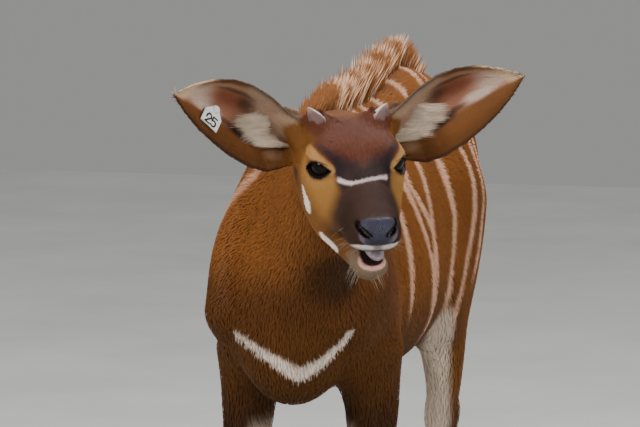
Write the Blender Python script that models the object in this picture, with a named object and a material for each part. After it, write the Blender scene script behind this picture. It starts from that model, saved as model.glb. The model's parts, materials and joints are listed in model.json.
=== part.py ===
"""A bongo antelope calf that stands with its neck bent to its left and its mouth a little open.

Metres, +Z up. The calf faces -Y, and its left side is at +X. Soft parts are described as one smooth body
made of blended tubes and ellipsoids, which is meshed and then parted by thin cuts into named pieces.
"""

import itertools
import math

import bmesh
import bpy
import numpy as np
from mathutils import Matrix, Vector

# Clear space between pieces that touch
GAP = 0.0003
# How far a mesh is made beyond the cut that ends it
OVER_CUT = 0.004
# This brings the centre of the calf's box to the origin.
SHIFT = (-0.102, -0.1467, 0.0)

# Head pose: where the forehead's middle is between the horn buds, and the turns in degrees
HEAD_AT = np.array((0.128, -0.290, 0.845))
HEAD_YAW = 29.3
HEAD_PITCH = 33.0
HEAD_ROLL = 2.0

# Eyes and ears, in the head's own frame
EYE_RADIUS = 0.0175
EYE_AT = np.array((0.0390, -0.0590, -0.029))
EYE_FACES = np.array((0.74, -0.67, 0.05))
# The lids slope up towards the nose by this many degrees.
EYE_TURN = 22.0
EAR_BASE = np.array((0.054, 0.006, -0.048))
EAR_AXIS = np.array((0.870, 0.020, 0.450))
EAR_FACES = np.array((0.0, -0.76, 0.65))
EAR_LENGTH = 0.180
EAR_THICKNESS = 0.0046
HORN_AT = np.array((0.0385, -0.002, -0.010))
HORN_POINTS = np.array((0.50, 0.56, 0.66))
HORN_LENGTH = 0.022
HORN_RADIUS = 0.0120

# Thin cuts that part the body. The head's is in the head's frame.
HEAD_CUT_AT = np.array((0.0, 0.024, -0.084))
HEAD_CUT_NORMAL = np.array((0.0, 0.72, -0.69))
HEAD_CUT_SIZES = (0.09, 0.12)
NECK_CUT_AT = np.array((0.030, -0.105, 0.680))
NECK_CUT_NORMAL = np.array((0.46, -0.70, 0.55))
TAIL_CUT_AT = np.array((0.0, 0.690, 0.680))
TAIL_CUT_NORMAL = np.array((0.0, 0.12, -0.99))
TAIL_CUT_SIZES = (0.022, 0.022)
FORELEG_CUT = 0.437
HINDLEG_CUT_AT = (0.50, 0.468)
HINDLEG_CUT_NORMAL = np.array((0.0, -0.15, 1.0))
EAR_CUT = 0.020

# Mouth
TONGUE_AT = np.array((0.0, -0.127, -0.0945))
TONGUE_SIZES = (0.0140, 0.028, 0.0075)

# Ear tag: its pin's place in the right ear (along the ear, across it and out of its cup), and its turns
TAG_PIN_AT = (0.114, 0.002, -0.018)
TAG_TURN = 20.0
TAG_TILT = 25.0
TAG_WIDTH = 0.027
TAG_HEIGHT = 0.018
TAG_DROP = 0.007
TAG_NECK = 0.011
TAG_THICKNESS = 0.002
TAG_STEM_RADIUS = 0.0025
TAG_BUTTON_RADIUS = 0.0045
TAG_BACK_RADIUS = 0.0060

# Feet
CORONET_HEIGHT = 0.031
CORONET_SLOPE = 0.25
CLAW_WIDTH = 0.0205
CLAW_TOP_LENGTH = 0.040
CLAW_SOLE_LENGTH = 0.045
CLAW_LEAN = 0.010
DEWCLAW_LENGTH = 0.014
DEWCLAW_RADIUS = 0.0055

# Crest along the back: place along Y, height
CREST = np.array(
    [
        (-0.014, 0.016), (0.02, 0.028), (0.08, 0.040), (0.15, 0.050), (0.25, 0.058),
        (0.35, 0.058), (0.43, 0.050), (0.53, 0.033), (0.59, 0.014),
    ]
)

CREST_LOCKS = 39
CREST_WIDTH = 0.031
CREST_THICKNESS = 0.0075
CREST_LEAN = 0.14
CREST_SWEEP = 0.34
CREST_BEND = 0.42
CREST_BLUNT = 3.0
# How deep the root of each lock lies below the skin
LOCK_SUNK = 0.008

# Tuft of the tail: rows of locks as the height of their roots and their length
TAIL_ROWS = ((0.545, 0.085), (0.500, 0.085))
TAIL_TUFT_Y = 0.691
TAIL_LOCKS = 4
TAIL_LOCK_WIDTH = 0.0165
TAIL_LOCK_THICKNESS = 0.007
TAIL_LOCK_BEND = 0.06
TAIL_LOCK_BLUNT = 2.4
TAIL_LOCK_SPREAD = 0.09
TAIL_ROOT_RADIUS = 0.004

# Faces of the body and head before they are parted
BODY_TRIANGLES = 4700
HEAD_TRIANGLES = 4700
CLOSE = 0.00005
FAR = 1.0
REACH = 0.045


def unit(v):
    v = np.asarray(v, float)
    return v / np.linalg.norm(v)


# Distance fields

def curve(rows, count):
    """A smooth curve through the rows, read at count even steps."""
    rows = np.asarray(rows, float)
    ends = np.vstack([2 * rows[0] - rows[1], rows, 2 * rows[-1] - rows[-2]])
    at = np.linspace(0, len(rows) - 1 - 1e-9, count)
    i = at.astype(int)
    t = (at - i)[:, None]
    a, b, c, d = (ends[i + k] for k in range(4))
    return 0.5 * (2 * b + (c - a) * t + (2 * a - 5 * b + 4 * c - d) * t**2 + (3 * b - a - 3 * c + d) * t**3)


def rounded(q, radii, power=2.0):
    """About the distance from offsets q to the surface of a rounded body with these half sizes."""
    share = np.abs(q) / radii
    total = (share**power).sum(1) ** (1 / power) + 1e-9
    slope = np.sqrt(((share ** (power - 1) / radii) ** 2).sum(1)) * total ** (1 - power) + 1e-9
    return (total - 1) / slope


def ellipsoid(centre, radii, turn=None, power=2.0):
    """A shape: its distance function with its lowest and highest corner. turn holds its axes."""
    centre, radii = np.asarray(centre, float), np.asarray(radii, float)
    reach = radii if turn is None else np.full(3, radii.max())

    def distance(p):
        q = p - centre
        return rounded(q if turn is None else q @ turn, radii, power)

    return distance, centre - reach, centre + reach


def tube(stations, side=(1, 0, 0), power=2.0, cap=1.0):
    """A limb-like shape. Each station is x, y, z, half width along side, half height, and taper.

    Half height lies along side x direction of travel, and a taper above 0 narrows the tube on that side.
    """
    rows = curve(stations, 5 * (len(stations) - 1) + 1)
    centre, sizes = rows[:, :3], rows[:, 3:]
    travel = np.gradient(centre, axis=0)
    travel /= np.linalg.norm(travel, axis=1)[:, None]
    across = np.asarray(side, float) - travel * (travel @ np.asarray(side, float))[:, None]
    across /= np.linalg.norm(across, axis=1)[:, None]
    frame = np.hstack([centre, travel, across, sizes])
    widest = sizes[:, :2].max(1)[:, None]

    def distance(p):
        best = np.full(len(p), 1e9)
        found = np.zeros((len(p), frame.shape[1]))
        for a, b in zip(frame[:-1], frame[1:]):
            ab = b[:3] - a[:3]
            t = np.clip((p - a[:3]) @ ab / (ab @ ab), 0, 1)
            d = ((p - a[:3] - t[:, None] * ab) ** 2).sum(1)
            closer = d < best
            best[closer] = d[closer]
            found[closer] = a + t[closer, None] * (b - a)
        travel_here = found[:, 3:6] / np.linalg.norm(found[:, 3:6], axis=1)[:, None]
        across_here = found[:, 6:9] / np.linalg.norm(found[:, 6:9], axis=1)[:, None]
        up_here = np.cross(across_here, travel_here)
        off = p - found[:, :3]
        u, v, w = ((off * axis).sum(1) for axis in (across_here, up_here, travel_here))
        half_width, half_height, taper = found[:, 9], found[:, 10], found[:, 11]
        half_width = half_width * (1 - taper * np.clip(v / half_height, -1, 1))
        radii = np.stack([half_width, half_height, cap * np.minimum(half_width, half_height)], 1)
        return rounded(np.stack([u, v, w], 1), radii, power)

    return distance, (centre - widest).min(0), (centre + widest).max(0)


def both(shape):
    """The shape and its mirror image on the other side of the middle plane."""
    distance, low, high = shape
    side = max(abs(low[0]), abs(high[0]))
    return (
        lambda p: distance(np.column_stack([np.abs(p[:, 0]), p[:, 1:]])),
        np.array((-side, low[1], low[2])),
        np.array((side, high[1], high[2])),
    )


def near(shape, p):
    """The shape's distance where p is close to it, and a far value elsewhere."""
    distance, low, high = shape
    close = ((p > low - REACH) & (p < high + REACH)).all(1)
    value = np.full(len(p), FAR)
    if close.any():
        value[close] = distance(p[close])
    return value


def melt(a, b, blend):
    """Smooth union of two distances."""
    share = np.maximum(blend - np.abs(a - b), 0) / blend
    return np.minimum(a, b) - share**2 * blend / 4


def carve(a, b, blend):
    """Distance a with b cut away, with a rounded edge."""
    return -melt(-a, b, blend)


def melted(p, shapes):
    """Smooth union of (blend, shape) pairs."""
    total = np.full(len(p), FAR)
    for blend, shape in shapes:
        total = melt(total, near(shape, p), blend)
    return total


# Trunk and neck

TRUNK = tube(
    # x, y, z, half width, half height, taper
    [
        (0, -0.085, 0.590, 0.072, 0.095, 0.10),
        (0, -0.020, 0.615, 0.088, 0.150, 0.28),
        (0, 0.060, 0.626, 0.094, 0.173, 0.32),
        (0, 0.160, 0.621, 0.104, 0.175, 0.24),
        (0, 0.270, 0.618, 0.108, 0.177, 0.20),
        (0, 0.380, 0.632, 0.102, 0.178, 0.20),
        (0, 0.470, 0.662, 0.094, 0.164, 0.18),
        (0, 0.560, 0.695, 0.080, 0.124, 0.14),
        (0, 0.596, 0.712, 0.060, 0.082, 0.05),
    ]
)
NECK = tube(
    # from the head to the chest
    [
        (0.099, -0.230, 0.784, 0.043, 0.054, 0.0),
        (0.074, -0.185, 0.744, 0.047, 0.073, 0.15),
        (0.042, -0.128, 0.706, 0.055, 0.108, 0.28),
        (0.015, -0.060, 0.672, 0.066, 0.136, 0.34),
        (0.000, 0.010, 0.655, 0.072, 0.140, 0.34),
    ],
    side=(0.90, 0.43, 0),
)
SPINE_RIDGE = tube(
    [
        (0, 0.00, 0.775, 0.020, 0.030, 0.2),
        (0, 0.12, 0.772, 0.026, 0.030, 0.0),
        (0, 0.30, 0.780, 0.034, 0.026, 0.0),
        (0, 0.46, 0.800, 0.042, 0.034, 0.0),
        (0, 0.60, 0.772, 0.036, 0.032, 0.0),
    ]
)
SHOULDER = both(
    tube(
        [
            (0.078, -0.085, 0.565, 0.031, 0.050, 0.0),
            (0.076, -0.045, 0.640, 0.028, 0.066, 0.0),
            (0.052, 0.015, 0.735, 0.018, 0.056, 0.0),
        ]
    )
)
UPPER_ARM = both(ellipsoid((0.071, 0.005, 0.550), (0.036, 0.085, 0.090)))
BRISKET = ellipsoid((0, -0.065, 0.525), (0.064, 0.082, 0.075))
HAUNCH = both(ellipsoid((0.050, 0.525, 0.650), (0.047, 0.115, 0.128)))
HIP = both(ellipsoid((0.046, 0.450, 0.755), (0.030, 0.080, 0.040)))
BUTTOCK = both(ellipsoid((0.042, 0.600, 0.680), (0.038, 0.055, 0.085)))


def foreleg(side, step):
    """A foreleg's shapes. step moves the foot along Y."""
    leg = tube(
        [
            (side * 0.078, 0.015, 0.510, 0.038, 0.066, 0.0),
            (side * 0.081, 0.016 + 0.1 * step, 0.440, 0.034, 0.047, 0.0),
            (side * 0.081, 0.006 + 0.3 * step, 0.365, 0.027, 0.034, 0.0),
            (side * 0.078, 0.000 + 0.5 * step, 0.300, 0.0225, 0.026, 0.0),
            (side * 0.076, -0.003 + 0.6 * step, 0.268, 0.0240, 0.027, 0.0),
            (side * 0.075, 0.000 + 0.7 * step, 0.232, 0.0185, 0.021, 0.0),
            (side * 0.075, 0.002 + 0.8 * step, 0.165, 0.0145, 0.0170, 0.0),
            (side * 0.075, 0.003 + 0.9 * step, 0.110, 0.0150, 0.0175, 0.0),
            (side * 0.075, 0.002 + step, 0.086, 0.0195, 0.0225, 0.0),
            (side * 0.075, -0.012 + step, 0.055, 0.0175, 0.0180, 0.0),
            (side * 0.075, -0.022 + step, 0.036, 0.0205, 0.0215, 0.0),
        ],
        cap=0.45,
    )
    return [(0.030, leg)]


def hindleg(side, step):
    """A hindleg's shapes. step moves the foot along Y."""
    thigh = tube(
        [
            (side * 0.060, 0.510 + 0.1 * step, 0.650, 0.046, 0.118, 0.0),
            (side * 0.066, 0.490 + 0.2 * step, 0.560, 0.042, 0.098, 0.0),
            (side * 0.070, 0.495 + 0.4 * step, 0.485, 0.034, 0.066, 0.0),
            (side * 0.066, 0.545 + 0.7 * step, 0.405, 0.0250, 0.038, 0.0),
            (side * 0.058, 0.590 + step, 0.345, 0.0195, 0.030, 0.0),
        ]
    )
    shank = tube(
        [
            (side * 0.058, 0.597 + step, 0.352, 0.0190, 0.026, 0.0),
            (side * 0.057, 0.592 + step, 0.312, 0.0195, 0.026, 0.0),
            (side * 0.058, 0.583 + step, 0.260, 0.0150, 0.0195, 0.0),
            (side * 0.059, 0.572 + step, 0.185, 0.0135, 0.0175, 0.0),
            (side * 0.060, 0.564 + step, 0.120, 0.0145, 0.0180, 0.0),
            (side * 0.061, 0.560 + step, 0.090, 0.0190, 0.0220, 0.0),
            (side * 0.061, 0.544 + step, 0.057, 0.0170, 0.0175, 0.0),
            (side * 0.061, 0.533 + step, 0.036, 0.0200, 0.0210, 0.0),
        ],
        cap=0.45,
    )
    heel = ellipsoid((side * 0.058, 0.612 + step, 0.362), (0.011, 0.013, 0.026))
    stifle = ellipsoid((side * 0.074, 0.425 + 0.25 * step, 0.520), (0.030, 0.042, 0.056))
    return [(0.045, thigh), (0.03, stifle), (0.02, shank), (0.012, heel)]


LEGS = {
    "foreleg_left": foreleg(1, 0.015),
    "foreleg_right": foreleg(-1, -0.015),
    "hindleg_left": hindleg(1, -0.075),
    "hindleg_right": hindleg(-1, 0.0),
}
TAIL = tube(
    [
        (0, 0.600, 0.785, 0.028, 0.028, 0.0),
        (0, 0.652, 0.765, 0.018, 0.018, 0.0),
        (0, 0.684, 0.715, 0.0130, 0.0130, 0.0),
        (0, 0.693, 0.650, 0.0100, 0.0105, 0.0),
        (0, 0.693, 0.560, 0.0085, 0.0090, 0.0),
        (0, 0.690, 0.500, 0.0110, 0.0110, 0.0),
        (0, 0.686, 0.440, 0.0050, 0.0050, 0.0),
    ]
)

# Head

def head_axes():
    """The head's own axes as columns: left, back and up."""
    yaw, pitch, roll = (math.radians(a) for a in (HEAD_YAW, HEAD_PITCH, HEAD_ROLL))
    ahead = np.array((math.sin(yaw) * math.cos(pitch), -math.cos(yaw) * math.cos(pitch), -math.sin(pitch)))
    level = np.array((math.cos(yaw), math.sin(yaw), 0))
    left = level * math.cos(roll) + np.cross(ahead, level) * math.sin(roll)
    return np.stack([left, -ahead, np.cross(ahead, left)], 1)


HEAD_AXES = head_axes()

HEAD_SHAPES = [
    # cranium and face, from the nose to the back of the skull
    (
        0.02,
        tube(
            [
                (0, -0.158, -0.052, 0.028, 0.025, 0.05),
                (0, -0.135, -0.051, 0.033, 0.032, 0.12),
                (0, -0.105, -0.052, 0.038, 0.038, 0.12),
                (0, -0.075, -0.051, 0.045, 0.044, 0.05),
                (0, -0.045, -0.049, 0.050, 0.047, -0.05),
                (0, -0.010, -0.055, 0.052, 0.045, -0.05),
                (0, 0.028, -0.073, 0.044, 0.038, 0.0),
            ],
            power=2.3,
        ),
    ),
    (0.015, ellipsoid((0, -0.158, -0.051), (0.0290, 0.0230, 0.0240), power=2.4)),
    (0.012, both(ellipsoid((0.0190, -0.148, -0.058), (0.0130, 0.0200, 0.0150)))),
    (0.020, both(ellipsoid((0.0375, -0.052, -0.028), (0.0205, 0.0300, 0.0205)))),
    (0.020, both(ellipsoid((0.042, -0.040, -0.050), (0.0170, 0.0420, 0.0180)))),
    # the cheek below the eye, which runs on to the muzzle
    (0.025, both(ellipsoid((0.030, -0.082, -0.072), (0.0160, 0.0400, 0.0220)))),
    (0.030, both(ellipsoid((0.033, -0.008, -0.088), (0.0185, 0.0440, 0.0370)))),
    (0.025, both(ellipsoid((0.033, -0.045, -0.098), (0.0180, 0.0560, 0.0360)))),
    (0.020, both(ellipsoid((0.038, 0.002, -0.014), (0.0160, 0.0180, 0.0125)))),
    # lower jaw, from the chin back
    (
        0.014,
        tube(
            [
                (0, -0.148, -0.117, 0.0220, 0.0130, 0.0),
                (0, -0.125, -0.115, 0.0310, 0.0185, -0.1),
                (0, -0.100, -0.112, 0.0390, 0.0230, -0.1),
                (0, -0.070, -0.109, 0.0430, 0.0265, -0.1),
                (0, -0.040, -0.106, 0.0430, 0.0290, -0.1),
                (0, 0.000, -0.098, 0.0390, 0.0330, 0.0),
                (0, 0.030, -0.086, 0.0320, 0.0320, 0.0),
            ]
        ),
    ),
    (0.012, ellipsoid((0, -0.151, -0.113), (0.0235, 0.0155, 0.0145))),
]
MOUTH = tube(
    [
        (0, -0.152, -0.094, 0.0200, 0.0135, 0.0),
        (0, -0.120, -0.089, 0.0190, 0.0090, 0.0),
        (0, -0.088, -0.084, 0.0110, 0.0040, 0.0),
    ]
)
# The lips part in a rounded gape: its corner, depth back to the corner, half height and droop.
MOUTH_CORNER = np.array((-0.122, -0.0830))
GAPE_DEPTH = 0.030
GAPE_HALF = 0.0140
GAPE_DROOP = 0.25
NOSTRIL = both(
    tube(
        [
            (0.0210, -0.161, -0.0305, 0.0022, 0.0022, 0.0),
            (0.0185, -0.169, -0.0345, 0.0040, 0.0040, 0.0),
            (0.0140, -0.1765, -0.0390, 0.0043, 0.0043, 0.0),
            (0.0100, -0.180, -0.0425, 0.0022, 0.0022, 0.0),
        ],
        side=(0, 0, 1),
    )
)


def eye_frame():
    """Axes of the left eye as columns: along the lids towards the nose, up, and outwards."""
    out = unit(EYE_FACES)
    up = unit(np.array((0, 0, 1.0)) - out * out[2])
    along = np.cross(up, out)
    turn = math.radians(EYE_TURN)
    along, up = along * math.cos(turn) - up * math.sin(turn), up * math.cos(turn) + along * math.sin(turn)
    return np.stack([along, up, out], 1)


EYE_AXES = eye_frame()
LID_THICKNESS = 0.0026
LID_HALF_LENGTH = 0.0190
LID_UP = 0.0110
LID_DOWN = 0.0090


def eye_opening(q):
    """Distance to the almond-shaped gap between the lids, for points on the head's left."""
    e = (q - EYE_AT) @ EYE_AXES
    arch = 1 - (e[:, 0] / LID_HALF_LENGTH) ** 2
    gap = np.maximum(e[:, 1] - LID_UP * arch, -LID_DOWN * arch - e[:, 1])
    return np.maximum(gap * 0.75, 0.004 - e[:, 2])


def mouth_gap(q):
    """Distance to the gape between the lips, rounded at the corner of the mouth."""
    ahead = MOUTH_CORNER[0] - q[:, 1]
    off = np.abs(q[:, 2] - MOUTH_CORNER[1] + GAPE_DROOP * ahead)
    back = np.minimum(ahead - GAPE_DEPTH, 0) / GAPE_DEPTH
    return (np.sqrt(back**2 + (off / GAPE_HALF) ** 2) - 1) * GAPE_HALF


def ear_frame(side):
    """Axes of an ear as columns: towards its tip, across it upwards, and out of its cup."""
    axis, faces = (unit(v * (side, 1, 1)) for v in (EAR_AXIS, EAR_FACES))
    faces = unit(faces - axis * (axis @ faces))
    across = np.cross(faces, axis) * side
    return np.stack([axis, across, faces], 1)


EAR_OUTLINE = np.array(
    # share of the length, half width above, half width below, depth of the cup
    [
        (-0.06, 0.016, 0.018, 0.016),
        (0.06, 0.022, 0.032, 0.026),
        (0.18, 0.029, 0.045, 0.034),
        (0.32, 0.038, 0.047, 0.036),
        (0.48, 0.043, 0.043, 0.032),
        (0.62, 0.041, 0.036, 0.026),
        (0.76, 0.033, 0.027, 0.018),
        (0.89, 0.019, 0.015, 0.009),
        (1.00, 0.002, 0.002, 0.002),
    ]
)


def ear(q, side):
    """Distance to one ear, a cupped leaf."""
    e = (q - EAR_BASE * (side, 1, 1)) @ ear_frame(side)
    share = e[:, 0] / EAR_LENGTH
    above, below, depth = (np.interp(share, EAR_OUTLINE[:, 0], EAR_OUTLINE[:, k]) for k in (1, 2, 3))
    half = (above + below) / 2
    over = (e[:, 1] - (above - below) / 2) / half
    inside = np.clip(over, -1, 1)
    sheet = -depth * (1 - inside**2)
    slope = np.sqrt(1 + (2 * depth * inside / half) ** 2)
    thick = EAR_THICKNESS * (1.25 - 0.45 * np.clip(share, 0, 1)) / 2
    flat = np.abs(e[:, 2] - sheet) / slope
    edge = np.maximum(np.abs(over) - 1, 0) * half
    tip = np.maximum(np.maximum(e[:, 0] - EAR_LENGTH, -0.012 - e[:, 0]), 0)
    return np.sqrt(flat**2 + edge**2 + tip**2) - thick


EAR_ROOT = both(
    tube(
        [
            (0.034, 0.016, -0.046, 0.022, 0.022, 0.0),
            (0.052, 0.024, -0.040, 0.020, 0.020, 0.0),
            (0.070, 0.036, -0.030, 0.012, 0.014, 0.0),
        ],
        side=(0, 0, 1),
    )
)
EAR_BOX = (np.array((0.03, -0.06, -0.13)), np.array((0.26, 0.11, 0.14)))


def head(p):
    """Distance to the head with its ears."""
    q = (p - HEAD_AT) @ HEAD_AXES
    value = melted(q, HEAD_SHAPES)
    value = melt(value, near(EAR_ROOT, q), 0.02)
    for side in (1, -1):
        low, high = (corner * (side, 1, 1) for corner in EAR_BOX)
        box = (lambda r, s=side: ear(r, s), np.minimum(low, high), np.maximum(low, high))
        value = melt(value, near(box, q), 0.010)
    mirrored = np.column_stack([np.abs(q[:, 0]), q[:, 1:]])
    lids = rounded(mirrored - EYE_AT, np.full(3, EYE_RADIUS + LID_THICKNESS))
    value = melt(value, lids, 0.008)
    value = carve(value, eye_opening(mirrored), 0.0015)
    value = carve(value, mouth_gap(q), 0.003)
    value = carve(value, near(MOUTH, q), 0.003)
    value = carve(value, near(NOSTRIL, q), 0.003)
    return value


def trunk(p):
    """Distance to the trunk with the neck, legs and tail."""
    shapes = [
        (0.02, TRUNK),
        (0.05, NECK),
        (0.02, SPINE_RIDGE),
        (0.030, SHOULDER),
        (0.035, UPPER_ARM),
        (0.030, BRISKET),
        (0.040, HAUNCH),
        (0.020, HIP),
        (0.030, BUTTOCK),
        (0.015, TAIL),
    ]
    for leg in LEGS.values():
        shapes += leg
    return melted(p, shapes)


def calf(p):
    """Distance to the whole soft body."""
    return melt(trunk(p), head(p), 0.025)


# Meshing

CORNERS = np.array([(i, j, k) for i in (0, 1) for j in (0, 1) for k in (0, 1)])
# Six tetrahedra that fill a cube, each a walk along its edges from corner 0 to corner 7
WALKS = [(0, a, a + b, 7) for a, b in itertools.permutations((1, 2, 4), 2)]


def packed(index):
    """One whole number for each row of three grid indices."""
    return (index[..., 0].astype(np.int64) << 42) + (index[..., 1].astype(np.int64) << 21) + index[..., 2]


def surface(field, low, high, step, levels):
    """Points and triangles where the field is zero, on a grid refined only near the surface."""
    low = np.asarray(low, float)
    counts = np.ceil((np.asarray(high, float) - low) / (step * 2**levels)).astype(int)
    cells = np.stack(np.meshgrid(*(np.arange(n) for n in counts), indexing="ij"), -1).reshape(-1, 3)
    for level in range(levels, -1, -1):
        size = step * 2**level
        value = field(low + (cells + 0.5) * size)
        cells = cells[np.abs(value) < 1.7 * size]
        if level:
            cells = (cells[:, None] * 2 + CORNERS).reshape(-1, 3)
    corners = (cells[:, None] + CORNERS).reshape(-1, 3)
    _, first, number = np.unique(packed(corners), return_index=True, return_inverse=True)
    places = low + corners[first] * step
    values = field(places)
    values[values == 0] = 1e-9
    number = number.reshape(-1, 8)
    inside = values[number] < 0
    number = number[inside.any(1) & ~inside.all(1)]
    pairs = []
    for walk in WALKS:
        tet = number[:, walk]
        order = np.argsort(values[tet] >= 0, axis=1, kind="stable")
        tet = np.take_along_axis(tet, order, 1)
        within = (values[tet] < 0).sum(1)
        for count, triangles in (
            (1, [((0, 1), (0, 2), (0, 3))]),
            (2, [((0, 2), (0, 3), (1, 3)), ((0, 2), (1, 3), (1, 2))]),
            (3, [((0, 3), (1, 3), (2, 3))]),
        ):
            some = tet[within == count]
            for triangle in triangles:
                pairs.append(np.stack([some[:, list(pair)] for pair in triangle], 1))
    pairs = np.sort(np.vstack(pairs), axis=2)
    keys = pairs[..., 0] * len(places) + pairs[..., 1]
    _, first, faces = np.unique(keys.reshape(-1), return_index=True, return_inverse=True)
    a, b = pairs.reshape(-1, 2)[first].T
    share = (values[a] / (values[a] - values[b]))[:, None]
    return places[a] + share * (places[b] - places[a]), faces.reshape(-1, 3)


def mesh_object(name, points, faces):
    mesh = bpy.data.meshes.new(name)
    mesh.from_pydata([tuple(v) for v in points], [], [tuple(int(i) for i in f) for f in faces])
    mesh.validate()
    obj = bpy.data.objects.new(name, mesh)
    bpy.context.scene.collection.objects.link(obj)
    return obj


# Pieces

def applied(obj):
    """Make the object's modifiers part of its mesh."""
    graph = bpy.context.evaluated_depsgraph_get()
    mesh = bpy.data.meshes.new_from_object(obj.evaluated_get(graph))
    obj.modifiers.clear()
    obj.data = mesh


def fewer(obj, triangles):
    """Thin the mesh out to about this many triangles."""
    work = bmesh.new()
    work.from_mesh(obj.data)
    bmesh.ops.recalc_face_normals(work, faces=work.faces)
    work.to_mesh(obj.data)
    work.free()
    modifier = obj.modifiers.new("fewer", "DECIMATE")
    modifier.ratio = triangles / sum(len(face.vertices) - 2 for face in obj.data.polygons)
    modifier.use_collapse_triangulate = True
    applied(obj)


def combine(obj, other, operation, solver="EXACT"):
    """Boolean of two objects into the first. The second is removed."""
    modifier = obj.modifiers.new("combine", "BOOLEAN")
    modifier.operation = operation
    modifier.solver = solver
    modifier.object = other
    applied(obj)
    bpy.data.objects.remove(other)


def tidy(obj):
    """Join stray close vertices and make all faces triangles that face outwards."""
    work = bmesh.new()
    work.from_mesh(obj.data)
    bmesh.ops.triangulate(work, faces=work.faces)
    bmesh.ops.dissolve_degenerate(work, dist=CLOSE, edges=work.edges)
    bmesh.ops.triangulate(work, faces=work.faces)
    bmesh.ops.recalc_face_normals(work, faces=work.faces)
    work.to_mesh(obj.data)
    work.free()


def pieces_of(obj):
    """Its connected surfaces as vertex sets, the largest first."""
    work = bmesh.new()
    work.from_mesh(obj.data)
    work.verts.ensure_lookup_table()
    seen = set()
    groups = []
    for start in work.verts:
        if start.index in seen:
            continue
        seen.add(start.index)
        group = [start]
        for vert in group:
            for edge in vert.link_edges:
                other = edge.other_vert(vert)
                if other.index not in seen:
                    seen.add(other.index)
                    group.append(other)
        groups.append([vert.index for vert in group])
    work.free()
    return sorted(groups, key=len, reverse=True)


def split(obj, places):
    """Turn each connected surface that is nearest to a place into an object with the place's name."""
    groups = pieces_of(obj)
    co = np.empty(len(obj.data.vertices) * 3)
    obj.data.vertices.foreach_get("co", co)
    co = co.reshape(-1, 3)
    made = {}
    for name, place in places.items():
        distance = [np.sqrt(((co[group] - place) ** 2).sum(1).min()) for group in groups]
        group = set(groups[int(np.argmin(distance))])
        faces = [f.vertices[:] for f in obj.data.polygons if f.vertices[0] in group]
        used = sorted(group)
        renumber = {old: new for new, old in enumerate(used)}
        made[name] = mesh_object(name, co[used], [[renumber[i] for i in face] for face in faces])
    bpy.data.objects.remove(obj)
    return made


def turned(axes, at):
    """A 4 x 4 matrix from axes as columns and a place."""
    matrix = Matrix([list(row) for row in axes]).to_4x4()
    matrix.translation = Vector(at)
    return matrix


def head_slab():
    """The thin cut between the neck and the head."""
    return slab(HEAD_AT + HEAD_AXES @ HEAD_CUT_AT, HEAD_AXES @ HEAD_CUT_NORMAL, HEAD_CUT_SIZES)


def slab(at, normal, sizes, thickness=GAP):
    """A thin box across normal. The first half size lies as near to world X as it can."""
    out = unit(normal)
    side = unit(np.array((1.0, 0, 0)) - out * out[0])
    axes = np.stack([side, np.cross(out, side), out], 1)
    bpy.ops.mesh.primitive_cube_add(size=2)
    obj = bpy.context.object
    obj.data.transform(turned(axes, at) @ Matrix.Diagonal((sizes[0], sizes[1], thickness / 2, 1)))
    return obj


def loft(name, rings):
    """A closed body through rings with equal numbers of points, with a flat face at each end."""
    count = len(rings[0])
    points = np.vstack(rings)
    faces = [list(range(count)), list(range(len(points) - count, len(points)))]
    for level in range(len(rings) - 1):
        for i in range(count):
            a, b = level * count + i, level * count + (i + 1) % count
            faces.append([a, b, b + count, a + count])
    obj = mesh_object(name, points, faces)
    tidy(obj)
    return obj


def ring(at, axes, half_width, half_height, count):
    """Points of an ellipse across the third of the axes."""
    turn = np.arange(count) * 2 * math.pi / count
    aside, above = np.cos(turn) * half_width, np.sin(turn) * half_height
    return at + np.outer(aside, axes[:, 0]) + np.outer(above, axes[:, 1])


def axes_along(direction, side=(1, 0, 0)):
    """Axes as columns, the third along direction and the first close to side."""
    out = unit(direction)
    across = unit(np.asarray(side, float) - out * (out @ np.asarray(side, float)))
    return np.stack([across, np.cross(out, across), out], 1)


def spindle(name, at, direction, profile, count, side=(1, 0, 0), grow=0.0):
    """A round body along direction. The profile's rows are place along it, half width and half height."""
    axes = axes_along(direction, side)
    rings = []
    for i, (along, half_width, half_height) in enumerate(profile):
        if i == 0:
            along -= grow
        elif i == len(profile) - 1:
            along += grow
        centre = np.asarray(at) + axes[:, 2] * along
        rings.append(ring(centre, axes, half_width + grow, half_height + grow, count))
    return loft(name, rings)


def ball(name, at, radii, axes, grow=0.0, segments=14, rings=9):
    bpy.ops.mesh.primitive_uv_sphere_add(segments=segments, ring_count=rings, radius=1)
    obj = bpy.context.object
    obj.name = name
    sizes = [r + grow for r in radii]
    obj.data.transform(turned(axes, at) @ Matrix.Diagonal((*sizes, 1)))
    return obj


def seated(body, build):
    """A piece made by build(name, grow), with a seat for it cut into the body at the usual gap."""
    combine(body, build("seat", GAP), "DIFFERENCE")


def to_world(obj):
    """Move an object made in the head's frame to its place."""
    obj.data.transform(turned(HEAD_AXES, HEAD_AT))
    return obj


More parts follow.
